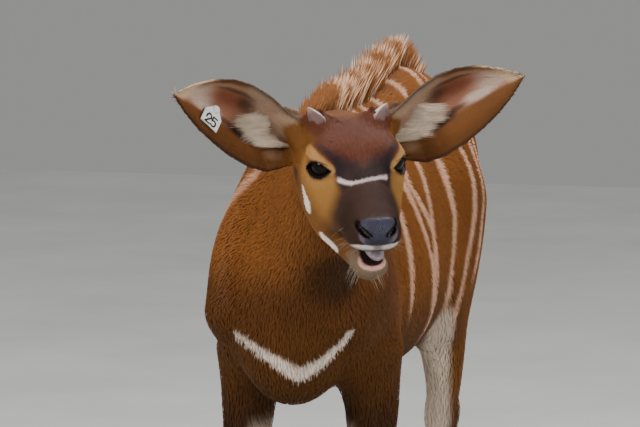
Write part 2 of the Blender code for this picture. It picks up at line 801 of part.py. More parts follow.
def body_pieces():
    """Torso, neck, legs and tail."""
    def rear(p):
        ahead = ((p - HEAD_AT) @ HEAD_AXES - HEAD_CUT_AT) @ unit(HEAD_CUT_NORMAL)
        return np.maximum(calf(p), -ahead - OVER_CUT)

    whole = mesh_object("body", *surface(rear, (-0.20, -0.40, 0.0), (0.25, 0.76, 0.90), 0.005, 3))
    fewer(whole, BODY_TRIANGLES)
    cuts = [
        head_slab(),
        slab(NECK_CUT_AT, NECK_CUT_NORMAL, (0.20, 0.20)),
        slab(TAIL_CUT_AT, TAIL_CUT_NORMAL, TAIL_CUT_SIZES),
    ]
    for side in (1, -1):
        cuts.append(slab((side * 0.085, 0.02, FORELEG_CUT), (0, 0, 1), (0.078, 0.11)))
        cuts.append(slab((side * 0.085, *HINDLEG_CUT_AT), HINDLEG_CUT_NORMAL, (0.080, 0.18)))
    for cut in cuts:
        combine(whole, cut, "DIFFERENCE")
    places = {
        "torso": (0, 0.27, 0.795),
        "neck": (0.075, -0.188, 0.66),
        "tail": (0, 0.686, 0.440),
        "foreleg_left": (0.075, 0.015, 0.165),
        "foreleg_right": (-0.075, -0.015, 0.165),
        "hindleg_left": (0.058, 0.50, 0.185),
        "hindleg_right": (-0.058, 0.575, 0.185),
    }
    return split(whole, {name: np.array(place) for name, place in places.items()})


def horn(name, side, grow):
    profile = [(-0.006, HORN_RADIUS, HORN_RADIUS), (0.002, HORN_RADIUS, HORN_RADIUS)]
    for share in (0.35, 0.65, 0.88, 1.0):
        radius = HORN_RADIUS * (1 - share**1.25) + 0.0012
        profile.append((HORN_LENGTH * share, radius, radius))
    at, direction = HORN_AT * (side, 1, 1), HORN_POINTS * (side, 1, 1)
    return to_world(spindle(name, at, direction, profile, 12, grow=grow))


def eye(name, side, grow):
    axes = EYE_AXES * np.array((side, 1, 1))[:, None] * np.array((side, 1, 1))
    return to_world(ball(name, EYE_AT * (side, 1, 1), (EYE_RADIUS,) * 3, axes, grow))


def tongue(name, grow):
    axes = axes_along((0, 0.17, 1))
    return to_world(ball(name, TONGUE_AT, TONGUE_SIZES, axes, grow, 14, 7))


def tag_axes():
    """Axes of the ear tag as columns: along its number, towards its pin, and out of the ear's cup."""
    axis, across, faces = ear_frame(-1).T
    turn, tilt = math.radians(TAG_TURN), math.radians(TAG_TILT)
    along = -axis * math.cos(turn) - across * math.sin(turn)
    up = np.cross(faces, along)
    out = faces * math.cos(tilt) + up * math.sin(tilt)
    return np.stack([along, np.cross(out, along), out], 1)


def tag_place(along, across, out):
    return EAR_BASE * (-1, 1, 1) + ear_frame(-1) @ np.array((along, across, out))


def tag_panel(name, grow):
    """The flat printed part of the tag."""
    axes = tag_axes()
    at = tag_place(*TAG_PIN_AT)
    half, low, neck = TAG_WIDTH / 2, -TAG_DROP - TAG_HEIGHT, TAG_NECK / 2
    right = [(half, low), (half, -TAG_DROP), (neck, neck * 0.3), (neck * 0.5, neck)]
    outline = right + [(-x, y) for x, y in reversed(right)]
    rings = []
    for height in (-TAG_THICKNESS / 2 - grow, TAG_THICKNESS / 2 + grow):
        rings.append(np.array([at + axes @ np.array((x, y, height)) for x, y in outline]))
    return to_world(loft(name, rings))


def tag_pin(name, grow):
    """The round pin with a button in front of the panel and a larger one behind the ear."""
    axes = tag_axes()
    front, back = TAG_THICKNESS / 2, -0.0125
    profile = [
        (back - 0.002 - grow, TAG_BACK_RADIUS),
        (back + grow, TAG_BACK_RADIUS),
        (back + grow, TAG_STEM_RADIUS),
        (front - 0.0005 - grow, TAG_STEM_RADIUS),
        (front - 0.0005 - grow, TAG_BUTTON_RADIUS),
        (front + 0.0025 + grow, TAG_BUTTON_RADIUS),
    ]
    at = tag_place(*TAG_PIN_AT)
    rings = []
    for along, radius in profile:
        rings.append(ring(at + axes[:, 2] * along, axes, radius + grow, radius + grow, 12))
    return to_world(loft(name, rings))


def head_pieces():
    """Head, ears, horns, eyes, tongue and the ear tag."""
    def front(p):
        q = (p - HEAD_AT) @ HEAD_AXES
        return np.maximum(calf(p), (q - HEAD_CUT_AT) @ unit(HEAD_CUT_NORMAL) - OVER_CUT)

    corner = HEAD_AT + np.array((-0.27, -0.17, -0.24))
    whole = mesh_object("front", *surface(front, corner, corner + (0.54, 0.42, 0.42), 0.002, 4))
    fewer(whole, HEAD_TRIANGLES)
    combine(whole, head_slab(), "DIFFERENCE")
    for side in (1, -1):
        axes = ear_frame(side)
        at = EAR_BASE * (side, 1, 1) + axes[:, 0] * EAR_CUT
        combine(whole, slab(HEAD_AT + HEAD_AXES @ at, HEAD_AXES @ axes[:, 0], (0.055, 0.055)), "DIFFERENCE")
    tips = {name: tag_place_of_tip(side) for name, side in (("ear_left", 1), ("ear_right", -1))}
    places = {"head": HEAD_AT + HEAD_AXES @ np.array((0, -0.09, -0.01)), **tips}
    made = split(whole, places)
    for side, name in ((1, "left"), (-1, "right")):
        for part, build in (("eye", eye), ("horn", horn)):
            seated(made["head"], lambda label, grow, b=build, s=side: b(label, s, grow))
            made[f"{part}_{name}"] = build(f"{part}_{name}", side, 0)
    seated(made["head"], tongue)
    made["tongue"] = tongue("tongue", 0)
    made["tag_panel"] = tag_panel("tag_panel", 0)
    made["tag_pin"] = tag_pin("tag_pin", 0)
    seated(made["ear_right"], tag_pin)
    seated(made["tag_panel"], tag_pin)
    return made


def tag_place_of_tip(side):
    tip = EAR_BASE * (side, 1, 1) + ear_frame(side)[:, 0] * EAR_LENGTH
    return HEAD_AT + HEAD_AXES @ tip


def coronet(x, y, yc):
    """Height of the coronet, which slopes up towards the toe."""
    return CORONET_HEIGHT - CORONET_SLOPE * (y - yc)


def claw(name, at, inward):
    """One claw of a hoof. at is the leg's bottom centre, and inward is the sign of the claw's side."""
    rings = []
    for share, wide, long in ((0, 0.98, 1.0), (0.15, 1.03, 0.98), (0.6, 0.99, 0.5), (1.0, 0.93, 0.0)):
        length = CLAW_TOP_LENGTH + (CLAW_SOLE_LENGTH - CLAW_TOP_LENGTH) * long
        points = []
        for turn in np.arange(12) * math.pi / 6 + math.pi / 12:
            fore, aside = math.cos(turn), math.sin(turn)
            if aside > 0:
                x = 0.35 + 0.65 * aside**0.8
            else:
                x = 0.35 * (1 - abs(aside) ** 0.5)
            y = at[1] - CLAW_LEAN * long * (1 - share) - fore * length / 2
            x = at[0] + inward * (GAP + x * CLAW_WIDTH * wide * (1 - 0.18 * max(fore, 0) * (1 - share)))
            points.append((x, y, share * (coronet(x, y, at[1]) - GAP / 2)))
        rings.append(np.array(points))
    return loft(name, rings)


def dewclaw(name, at, inward, grow):
    profile = [
        (-0.004, DEWCLAW_RADIUS * 0.8, DEWCLAW_RADIUS * 0.8),
        (DEWCLAW_LENGTH * 0.3, DEWCLAW_RADIUS, DEWCLAW_RADIUS * 0.9),
        (DEWCLAW_LENGTH * 0.75, DEWCLAW_RADIUS * 0.5, DEWCLAW_RADIUS * 0.4),
    ]
    place = np.array(at) + (inward * 0.0100, 0, 0)
    return spindle(name, place, (inward * 0.25, 0.62, -0.74), profile, 7, grow=grow)


FEET = {
    # side, leg's bottom centre along Y, and the dewclaws' place
    "foreleg_left": (1, 0.075, -0.007, (0.034, 0.080)),
    "foreleg_right": (-1, 0.075, -0.037, (0.004, 0.080)),
    "hindleg_left": (1, 0.061, 0.458, (0.500, 0.084)),
    "hindleg_right": (-1, 0.061, 0.533, (0.575, 0.084)),
}


def feet(legs):
    """Claws and dewclaws for each leg, whose bottom is cut to the coronet's slope."""
    made = {}
    for leg, (side, x, y, rear) in FEET.items():
        at = np.array((side * x, y, 0))
        normal = unit((0, CORONET_SLOPE, 1))
        below = slab(at + (0, 0, CORONET_HEIGHT) - normal * (0.03 - GAP / 2), normal, (0.05, 0.06), 0.06)
        combine(legs[leg], below, "DIFFERENCE")
        place = leg.replace("leg", "")
        for inward, where in ((-side, "inner"), (side, "outer")):
            name = f"claw_{place}_{where}"
            made[name] = claw(name, at, inward)
            name = f"dewclaw_{place}_{where}"
            spot = (side * x, *rear)
            seated(legs[leg], lambda label, grow, s=spot, i=inward: dewclaw(label, s, i, grow))
            made[name] = dewclaw(name, spot, inward, 0)
    return made


def back_height(y):
    """Height of the back's middle line at places along Y."""
    low, high = np.full(len(y), 0.60), np.full(len(y), 0.95)
    for _ in range(14):
        middle = (low + high) / 2
        inside = trunk(np.stack([np.zeros(len(y)), y, middle], 1)) < 0
        low, high = np.where(inside, middle, low), np.where(inside, high, middle)
    return low


def lock(root, rise, back, side, length, width, thickness, bend, blunt):
    """A flat tapered lock that starts below the skin at root, rises and bends back.

    rise, back and side are its axes. The lock is widest along back, and narrows late where blunt is high.
    """
    rings = []
    for share in (-LOCK_SUNK / length, 0.4, 0.75, 1.0):
        out = max(share, 0)
        centre = root + rise * length * share + back * bend * length * out**2
        half_width = width / 2 * (1 - 0.9 * out**blunt)
        half_thickness = thickness / 2 * (1 - 0.75 * out)
        corners = [back * half_width, side * half_thickness, -back * half_width, -side * half_thickness]
        rings.append(centre + np.array(corners))
    return loft("lock", rings)


def fused(body, locks):
    """Union of the locks with the body. Only the largest closed surface is kept."""
    group = bpy.data.collections.new("locks")
    for obj in locks:
        group.objects.link(obj)
    modifier = body.modifiers.new("locks", "BOOLEAN")
    modifier.operation = "UNION"
    modifier.operand_type = "COLLECTION"
    modifier.collection = group
    applied(body)
    for obj in locks:
        bpy.data.objects.remove(obj)
    bpy.data.collections.remove(group)
    tidy(body)
    keep = set(pieces_of(body)[0])
    work = bmesh.new()
    work.from_mesh(body.data)
    bmesh.ops.delete(work, geom=[vert for vert in work.verts if vert.index not in keep], context="VERTS")
    work.to_mesh(body.data)
    work.free()


def crest_locks():
    """Locks along the back, leaning left and right in turn."""
    y = np.linspace(CREST[0, 0], CREST[-1, 0], CREST_LOCKS)
    lengths = np.interp(y, CREST[:, 0], CREST[:, 1])
    locks = []
    for i, (at, root, length) in enumerate(zip(y, back_height(y), lengths)):
        lean = CREST_LEAN * (1 if i % 2 else -1)
        length *= 1 + 0.10 * math.sin(2.3 * i)
        rise = unit((lean, CREST_SWEEP, 1))
        side = unit((1, 0, -lean))
        back = np.cross(rise, side)
        place = np.array((0.2 * lean * length, at, root))
        shape = (length, CREST_WIDTH, CREST_THICKNESS, CREST_BEND, CREST_BLUNT)
        locks.append(lock(place, rise, back, side, *shape))
    return locks


def tail_locks():
    """Locks around the tail's end that hang down as a tuft."""
    locks = []
    for row, (height, length) in enumerate(TAIL_ROWS):
        centre = np.array((0, TAIL_TUFT_Y, height))
        for i in range(TAIL_LOCKS):
            turn = 2 * math.pi * (i + 0.5 * row) / TAIL_LOCKS
            out = np.array((math.cos(turn), math.sin(turn), 0))
            rise = unit(out * TAIL_LOCK_SPREAD + (0, 0, -1))
            side = unit(out + (0, 0, TAIL_LOCK_SPREAD))
            back = np.cross(rise, side)
            bend = TAIL_LOCK_BEND if i % 2 == 0 else -TAIL_LOCK_BEND
            root = centre + out * TAIL_ROOT_RADIUS
            shape = (length, TAIL_LOCK_WIDTH, TAIL_LOCK_THICKNESS, bend, TAIL_LOCK_BLUNT)
            locks.append(lock(root, rise, back, side, *shape))
    return locks


COLOURS = {
    "eye": (0.02, 0.015, 0.012, 1),
    "horn": (0.42, 0.36, 0.33, 1),
    "claw": (0.03, 0.028, 0.03, 1),
    "dewclaw": (0.03, 0.028, 0.03, 1),
    "tongue": (0.25, 0.16, 0.17, 1),
    "tag": (0.80, 0.80, 0.78, 1),
}
COAT = (0.35, 0.12, 0.035, 1)


def material_for(name):
    kind = name.split("_")[0]
    key = kind if kind in COLOURS else "coat"
    found = bpy.data.materials.get(key)
    if found:
        return found
    made = bpy.data.materials.new(key)
    made.use_nodes = True
    shader = made.node_tree.nodes["Principled BSDF"]
    shader.inputs["Base Color"].default_value = COLOURS.get(kind, COAT)
    shader.inputs["Roughness"].default_value = 0.15 if kind == "eye" else 0.6
    return made


def main():
    for old in list(bpy.data.objects):
        bpy.data.objects.remove(old)
    made = body_pieces()
    fused(made["torso"], crest_locks())
    fused(made["tail"], tail_locks())
    made.update(head_pieces())
    made.update(feet({name: made[name] for name in LEGS}))
    for name, obj in made.items():
        tidy(obj)
        obj.name = name
        obj.data.transform(Matrix.Translation(Vector(SHIFT)))
        obj.data.materials.clear()
        obj.data.materials.append(material_for(name))
        for face in obj.data.polygons:
            face.use_smooth = True
            face.material_index = 0


main()
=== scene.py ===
"""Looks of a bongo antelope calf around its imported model: skin, coat, crest, eyes, ears and studio.

Metres, +Z up. The calf faces -Y, and its left side is at +X. The skin is meshed from the same blended
shapes as the solids, a coat's depth inside them, and carries tufts that follow the lie of the coat.
Shapes are given in a frame whose origin is between the forefeet. SHIFT brings them to the model's origin.
"""

import itertools
import json
import math

import bpy
import numpy as np
from mathutils import Matrix, Vector

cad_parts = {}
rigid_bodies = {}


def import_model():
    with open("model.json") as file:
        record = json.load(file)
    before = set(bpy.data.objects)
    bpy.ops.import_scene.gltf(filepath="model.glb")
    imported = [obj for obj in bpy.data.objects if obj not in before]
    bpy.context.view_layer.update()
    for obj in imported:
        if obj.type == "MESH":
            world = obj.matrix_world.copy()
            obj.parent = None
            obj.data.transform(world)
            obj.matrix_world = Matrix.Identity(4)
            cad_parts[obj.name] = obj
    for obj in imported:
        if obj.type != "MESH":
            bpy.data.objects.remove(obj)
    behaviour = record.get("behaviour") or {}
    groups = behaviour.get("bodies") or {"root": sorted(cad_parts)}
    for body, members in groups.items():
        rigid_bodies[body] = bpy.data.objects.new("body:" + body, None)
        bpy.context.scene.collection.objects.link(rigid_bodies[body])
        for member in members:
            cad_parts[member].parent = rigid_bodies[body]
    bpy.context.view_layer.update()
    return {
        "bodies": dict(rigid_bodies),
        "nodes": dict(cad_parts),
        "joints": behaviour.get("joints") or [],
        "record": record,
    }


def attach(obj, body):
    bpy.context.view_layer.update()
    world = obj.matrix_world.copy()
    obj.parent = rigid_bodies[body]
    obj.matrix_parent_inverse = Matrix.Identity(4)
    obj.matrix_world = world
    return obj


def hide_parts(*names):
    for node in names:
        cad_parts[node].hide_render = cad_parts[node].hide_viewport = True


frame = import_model()

SHIFT = np.array((-0.102, -0.1467, 0.0))

# Camera: the angle it sees the calf from, its distance to the head, and the photograph's frame
FRAME_SIZE = (640, 427)
CAMERA_TURN = 14.5
CAMERA_RISE = 7.0
CAMERA_DISTANCE = 5.5
METRES_PER_PIXEL = 0.0012
HEAD_PIXEL = (349, 113)
SENSOR = 36.0

# Head pose: where the forehead's middle is between the horn buds, and the turns in degrees
HEAD_AT = np.array((0.128, -0.29, 0.845))
HEAD_YAW = 29.3
HEAD_PITCH = 33.0
HEAD_ROLL = 2.0

# Eyes and ears, in the head's own frame
EYE_RADIUS = 0.0175
EYE_AT = np.array((0.039, -0.059, -0.029))
EYE_FACES = np.array((0.74, -0.67, 0.05))
EYE_TURN = 22.0
EAR_BASE = np.array((0.054, 0.006, -0.048))
EAR_AXIS = np.array((0.87, 0.02, 0.45))
EAR_FACES = np.array((0.0, -0.76, 0.65))
EAR_LENGTH = 0.18
EAR_THICKNESS = 0.0046
HORN_AT = np.array((0.0385, -0.002, -0.01))
HORN_POINTS = np.array((0.5, 0.56, 0.66))
HORN_LENGTH = 0.022

# Where the head's fine mesh meets the body's, in the head's frame
HEAD_CUT_AT = np.array((0.0, 0.024, -0.084))
HEAD_CUT_NORMAL = np.array((0.0, 0.72, -0.69))

TONGUE_AT = np.array((0.0096, -0.1375, -0.097))
TONGUE_SIZES = (0.0112, 0.027, 0.008)

# Grid steps of the skin.
BODY_STEP = 0.0066
HEAD_STEP = 0.0024
HEAD_OVERLAP = 0.004
FEWER = 1
WIDER = 1.0

# Depth of the coat over the skin
BODY_DEPTH = 0.0026
LEG_DEPTH = 0.0018
HEAD_DEPTH = 0.0012
EAR_DEPTH = 0.0005

FAR = 1.0
REACH = 0.045


def unit(v):
    v = np.asarray(v, float)
    return v / np.linalg.norm(v)


# Distance fields

def curve(rows, count):
    """A smooth curve through the rows, read at count even steps."""
    rows = np.asarray(rows, float)
    ends = np.vstack([2 * rows[0] - rows[1], rows, 2 * rows[-1] - rows[-2]])
    at = np.linspace(0, len(rows) - 1 - 1e-9, count)
    i = at.astype(int)
    t = (at - i)[:, None]
    a, b, c, d = (ends[i + k] for k in range(4))
    return 0.5 * (2 * b + (c - a) * t + (2 * a - 5 * b + 4 * c - d) * t**2 + (3 * b - a - 3 * c + d) * t**3)


def rounded(q, radii, power=2.0):
    """About the distance from offsets q to the surface of a rounded body with these half sizes."""
    share = np.abs(q) / radii
    total = (share**power).sum(1) ** (1 / power) + 1e-9
    slope = np.sqrt(((share ** (power - 1) / radii) ** 2).sum(1)) * total ** (1 - power) + 1e-9
    return (total - 1) / slope


def ellipsoid(centre, radii, turn=None, power=2.0):
    """A shape: its distance function with its lowest and highest corner. turn holds its axes."""
    centre, radii = np.asarray(centre, float), np.asarray(radii, float)
    reach = radii if turn is None else np.full(3, radii.max())

    def distance(p):
        q = p - centre
        return rounded(q if turn is None else q @ turn, radii, power)

    return distance, centre - reach, centre + reach


def tube(stations, side=(1, 0, 0), power=2.0, cap=1.0):
    """A limb-like shape. Each station is x, y, z, half width along side, half height, and taper.

    Half height lies along side x direction of travel, and a taper above 0 narrows the tube on that side.
    """
    rows = curve(stations, 5 * (len(stations) - 1) + 1)
    centre, sizes = rows[:, :3], rows[:, 3:]
    travel = np.gradient(centre, axis=0)
    travel /= np.linalg.norm(travel, axis=1)[:, None]
    across = np.asarray(side, float) - travel * (travel @ np.asarray(side, float))[:, None]
    across /= np.linalg.norm(across, axis=1)[:, None]
    frame = np.hstack([centre, travel, across, sizes])
    widest = sizes[:, :2].max(1)[:, None]

    def distance(p):
        best = np.full(len(p), 1e9)
        found = np.zeros((len(p), frame.shape[1]))
        for a, b in zip(frame[:-1], frame[1:]):
            ab = b[:3] - a[:3]
            t = np.clip((p - a[:3]) @ ab / (ab @ ab), 0, 1)
            d = ((p - a[:3] - t[:, None] * ab) ** 2).sum(1)
            closer = d < best
            best[closer] = d[closer]
            found[closer] = a + t[closer, None] * (b - a)
        travel_here = found[:, 3:6] / np.linalg.norm(found[:, 3:6], axis=1)[:, None]
        across_here = found[:, 6:9] / np.linalg.norm(found[:, 6:9], axis=1)[:, None]
        up_here = np.cross(across_here, travel_here)
        off = p - found[:, :3]
        u, v, w = ((off * axis).sum(1) for axis in (across_here, up_here, travel_here))
        half_width, half_height, taper = found[:, 9], found[:, 10], found[:, 11]
        half_width = half_width * (1 - taper * np.clip(v / half_height, -1, 1))
        radii = np.stack([half_width, half_height, cap * np.minimum(half_width, half_height)], 1)
        return rounded(np.stack([u, v, w], 1), radii, power)

    return distance, (centre - widest).min(0), (centre + widest).max(0)


def both(shape):
    """The shape and its mirror image on the other side of the middle plane."""
    distance, low, high = shape
    side = max(abs(low[0]), abs(high[0]))
    return (
        lambda p: distance(np.column_stack([np.abs(p[:, 0]), p[:, 1:]])),
        np.array((-side, low[1], low[2])),
        np.array((side, high[1], high[2])),
    )


def near(shape, p):
    """The shape's distance where p is close to it, and a far value elsewhere."""
    distance, low, high = shape
    close = ((p > low - REACH) & (p < high + REACH)).all(1)
    value = np.full(len(p), FAR)
    if close.any():
        value[close] = distance(p[close])
    return value


def melt(a, b, blend):
    """Smooth union of two distances."""
    share = np.maximum(blend - np.abs(a - b), 0) / blend
    return np.minimum(a, b) - share**2 * blend / 4


def carve(a, b, blend):
    """Distance a with b cut away, with a rounded edge."""
    return -melt(-a, b, blend)


def melted(p, shapes):
    """Smooth union of (blend, shape) pairs."""
    total = np.full(len(p), FAR)
    for blend, shape in shapes:
        total = melt(total, near(shape, p), blend)
    return total


# Trunk and neck

TRUNK = tube(
    # x, y, z, half width, half height, taper
    [
        (0, -0.085, 0.59, 0.072, 0.095, 0.1),
        (0, -0.02, 0.615, 0.088, 0.15, 0.28),
        (0, 0.06, 0.626, 0.094, 0.173, 0.32),
        (0, 0.16, 0.621, 0.104, 0.175, 0.24),
        (0, 0.27, 0.618, 0.108, 0.177, 0.2),
        (0, 0.38, 0.632, 0.102, 0.178, 0.2),
        (0, 0.47, 0.662, 0.094, 0.164, 0.18),
        (0, 0.56, 0.695, 0.08, 0.124, 0.14),
        (0, 0.596, 0.712, 0.06, 0.082, 0.05),
    ]
)
NECK = tube(
    # from the head to the chest
    [
        (0.099, -0.23, 0.784, 0.043, 0.054, 0.0),
        (0.074, -0.185, 0.744, 0.047, 0.073, 0.15),
        (0.042, -0.128, 0.706, 0.055, 0.108, 0.28),
        (0.015, -0.06, 0.672, 0.066, 0.136, 0.34),
        (0.000, 0.01, 0.655, 0.072, 0.14, 0.34),
    ],
    side=(0.9, 0.43, 0),
)
SPINE_RIDGE = tube(
    [
        (0, 0.00, 0.775, 0.02, 0.03, 0.2),
        (0, 0.12, 0.772, 0.026, 0.03, 0.0),
        (0, 0.3, 0.78, 0.034, 0.026, 0.0),
        (0, 0.46, 0.8, 0.042, 0.034, 0.0),
        (0, 0.6, 0.772, 0.036, 0.032, 0.0),
    ]
)
SHOULDER = both(
    tube(
        [
            (0.078, -0.085, 0.565, 0.031, 0.05, 0.0),
            (0.076, -0.045, 0.64, 0.028, 0.066, 0.0),
            (0.052, 0.015, 0.735, 0.018, 0.056, 0.0),
        ]
    )
)
UPPER_ARM = both(ellipsoid((0.071, 0.005, 0.55), (0.036, 0.085, 0.09)))
BRISKET = ellipsoid((0, -0.065, 0.525), (0.064, 0.082, 0.075))
HAUNCH = both(ellipsoid((0.05, 0.525, 0.65), (0.047, 0.115, 0.128)))
HIP = both(ellipsoid((0.046, 0.45, 0.755), (0.03, 0.08, 0.04)))
BUTTOCK = both(ellipsoid((0.042, 0.6, 0.68), (0.038, 0.055, 0.085)))


def foreleg(side, step):
    """A foreleg's shapes. step moves the foot along Y."""
    leg = tube(
        [
            (side * 0.078, 0.015, 0.51, 0.038, 0.066, 0.0),
            (side * 0.081, 0.016 + 0.1 * step, 0.44, 0.034, 0.047, 0.0),
            (side * 0.081, 0.006 + 0.3 * step, 0.365, 0.027, 0.034, 0.0),
            (side * 0.078, 0.000 + 0.5 * step, 0.3, 0.0225, 0.026, 0.0),
            (side * 0.076, -0.003 + 0.6 * step, 0.268, 0.024, 0.027, 0.0),
            (side * 0.075, 0.000 + 0.7 * step, 0.232, 0.0185, 0.021, 0.0),
            (side * 0.075, 0.002 + 0.8 * step, 0.165, 0.0145, 0.017, 0.0),
            (side * 0.075, 0.003 + 0.9 * step, 0.11, 0.015, 0.0175, 0.0),
            (side * 0.075, 0.002 + step, 0.086, 0.0195, 0.0225, 0.0),
            (side * 0.075, -0.012 + step, 0.055, 0.0175, 0.018, 0.0),
            (side * 0.075, -0.022 + step, 0.036, 0.0205, 0.0215, 0.0),
        ],
        cap=0.45,
    )
    return [(0.03, leg)]


def hindleg(side, step):
    """A hindleg's shapes. step moves the foot along Y."""
    thigh = tube(
        [
            (side * 0.06, 0.51 + 0.1 * step, 0.65, 0.046, 0.118, 0.0),
            (side * 0.066, 0.49 + 0.2 * step, 0.56, 0.042, 0.098, 0.0),
            (side * 0.07, 0.495 + 0.4 * step, 0.485, 0.034, 0.066, 0.0),
            (side * 0.066, 0.545 + 0.7 * step, 0.405, 0.025, 0.038, 0.0),
            (side * 0.058, 0.59 + step, 0.345, 0.0195, 0.03, 0.0),
        ]
    )
    shank = tube(
        [
            (side * 0.058, 0.597 + step, 0.352, 0.019, 0.026, 0.0),
            (side * 0.057, 0.592 + step, 0.312, 0.0195, 0.026, 0.0),
            (side * 0.058, 0.583 + step, 0.26, 0.015, 0.0195, 0.0),
            (side * 0.059, 0.572 + step, 0.185, 0.0135, 0.0175, 0.0),
            (side * 0.06, 0.564 + step, 0.12, 0.0145, 0.018, 0.0),
            (side * 0.061, 0.56 + step, 0.09, 0.019, 0.022, 0.0),
            (side * 0.061, 0.544 + step, 0.057, 0.017, 0.0175, 0.0),
            (side * 0.061, 0.533 + step, 0.036, 0.02, 0.021, 0.0),
        ],
        cap=0.45,
    )
    heel = ellipsoid((side * 0.058, 0.612 + step, 0.362), (0.011, 0.013, 0.026))
    stifle = ellipsoid((side * 0.074, 0.425 + 0.25 * step, 0.52), (0.03, 0.042, 0.056))
    return [(0.045, thigh), (0.03, stifle), (0.02, shank), (0.012, heel)]


LEGS = {
    "foreleg_left": foreleg(1, 0.015),
    "foreleg_right": foreleg(-1, -0.015),
    "hindleg_left": hindleg(1, -0.075),
    "hindleg_right": hindleg(-1, 0.0),
}
TAIL = tube(
    [
        (0, 0.6, 0.785, 0.028, 0.028, 0.0),
        (0, 0.652, 0.765, 0.018, 0.018, 0.0),
        (0, 0.684, 0.715, 0.013, 0.013, 0.0),
        (0, 0.693, 0.65, 0.01, 0.0105, 0.0),
        (0, 0.693, 0.56, 0.0085, 0.009, 0.0),
        (0, 0.69, 0.5, 0.011, 0.011, 0.0),
        (0, 0.686, 0.44, 0.005, 0.005, 0.0),
    ]
)

# Head

def head_axes():
    """The head's own axes as columns: left, back and up."""
    yaw, pitch, roll = (math.radians(a) for a in (HEAD_YAW, HEAD_PITCH, HEAD_ROLL))
    ahead = np.array((math.sin(yaw) * math.cos(pitch), -math.cos(yaw) * math.cos(pitch), -math.sin(pitch)))
    level = np.array((math.cos(yaw), math.sin(yaw), 0))
    left = level * math.cos(roll) + np.cross(ahead, level) * math.sin(roll)
    return np.stack([left, -ahead, np.cross(ahead, left)], 1)


HEAD_AXES = head_axes()

HEAD_SHAPES = [
    # cranium and face, from the nose to the back of the skull
    (
        0.02,
        tube(
            [
                (0, -0.158, -0.052, 0.028, 0.025, 0.05),
                (0, -0.135, -0.051, 0.033, 0.032, 0.12),
                (0, -0.105, -0.052, 0.038, 0.038, 0.12),
                (0, -0.075, -0.051, 0.045, 0.044, 0.05),
                (0, -0.045, -0.049, 0.05, 0.047, -0.05),
                (0, -0.01, -0.055, 0.052, 0.045, -0.05),
                (0, 0.028, -0.073, 0.044, 0.038, 0.0),
            ],
            power=2.3,
        ),
    ),
    (0.015, ellipsoid((0, -0.158, -0.051), (0.029, 0.023, 0.024), power=2.4)),
    (0.012, both(ellipsoid((0.019, -0.148, -0.058), (0.013, 0.02, 0.015)))),
    (0.02, both(ellipsoid((0.0375, -0.052, -0.028), (0.0205, 0.03, 0.0205)))),
    (0.02, both(ellipsoid((0.042, -0.04, -0.05), (0.017, 0.042, 0.018)))),
    # the cheek below the eye, which runs on to the muzzle
    (0.025, both(ellipsoid((0.03, -0.082, -0.072), (0.016, 0.04, 0.022)))),
    (0.03, both(ellipsoid((0.033, -0.008, -0.088), (0.0185, 0.044, 0.037)))),
    (0.025, both(ellipsoid((0.033, -0.045, -0.098), (0.018, 0.056, 0.036)))),
    (0.02, both(ellipsoid((0.038, 0.002, -0.014), (0.016, 0.018, 0.0125)))),
    # lower jaw, from the chin back
    (
        0.014,
        tube(
            [
                (0.0055, -0.148, -0.117, 0.0182, 0.013, 0.0),
                (0.003, -0.125, -0.115, 0.0275, 0.0185, -0.1),
                (0.001, -0.1, -0.112, 0.038, 0.023, -0.1),
                (0, -0.07, -0.109, 0.043, 0.0265, -0.1),
                (0, -0.04, -0.106, 0.043, 0.029, -0.1),
                (0, 0.000, -0.098, 0.039, 0.033, 0.0),
                (0, 0.03, -0.086, 0.032, 0.032, 0.0),
            ]
        ),
    ),
    (0.012, ellipsoid((0.0058, -0.151, -0.113), (0.0192, 0.0155, 0.0145))),
]
MOUTH = tube(
    [
        (0.0066, -0.1525, -0.094, 0.0176, 0.0125, 0.0),
        (0.0036, -0.12, -0.089, 0.018, 0.009, 0.0),
        (0, -0.088, -0.084, 0.011, 0.004, 0.0),
    ]
)
# The lips part in a rounded gape: its corner, depth back to the corner, half height and droop.
MOUTH_CORNER = np.array((-0.122, -0.083))
GAPE_DEPTH = 0.03
GAPE_HALF = 0.014
GAPE_DROOP = 0.25
UPPER_GAPE = 28.0
NOSTRIL = both(
    tube(
        [
            (0.023, -0.163, -0.0345, 0.002, 0.002, 0.0),
            (0.02, -0.1695, -0.0368, 0.0036, 0.0036, 0.0),
            (0.0152, -0.177, -0.0392, 0.004, 0.004, 0.0),
            (0.0108, -0.1815, -0.0402, 0.002, 0.002, 0.0),
        ],
        side=(0, 0, 1),
    )
)


def eye_frame():
    """Axes of the left eye as columns: along the lids towards the nose, up, and outwards."""
    out = unit(EYE_FACES)
    up = unit(np.array((0, 0, 1.0)) - out * out[2])
    along = np.cross(up, out)
    turn = math.radians(EYE_TURN)
    along, up = along * math.cos(turn) - up * math.sin(turn), up * math.cos(turn) + along * math.sin(turn)
    return np.stack([along, up, out], 1)


EYE_AXES = eye_frame()
LID_THICKNESS = 0.0026
LID_HALF_LENGTH = 0.019
LID_UP = 0.011
LID_DOWN = 0.008


def eye_opening(q):
    """Distance to the almond-shaped gap between the lids, for points on the head's left."""
    e = (q - EYE_AT) @ EYE_AXES
    arch = 1 - (e[:, 0] / LID_HALF_LENGTH) ** 2
    gap = np.maximum(e[:, 1] - LID_UP * arch, -LID_DOWN * arch - e[:, 1])
    return np.maximum(gap * 0.75, 0.004 - e[:, 2])


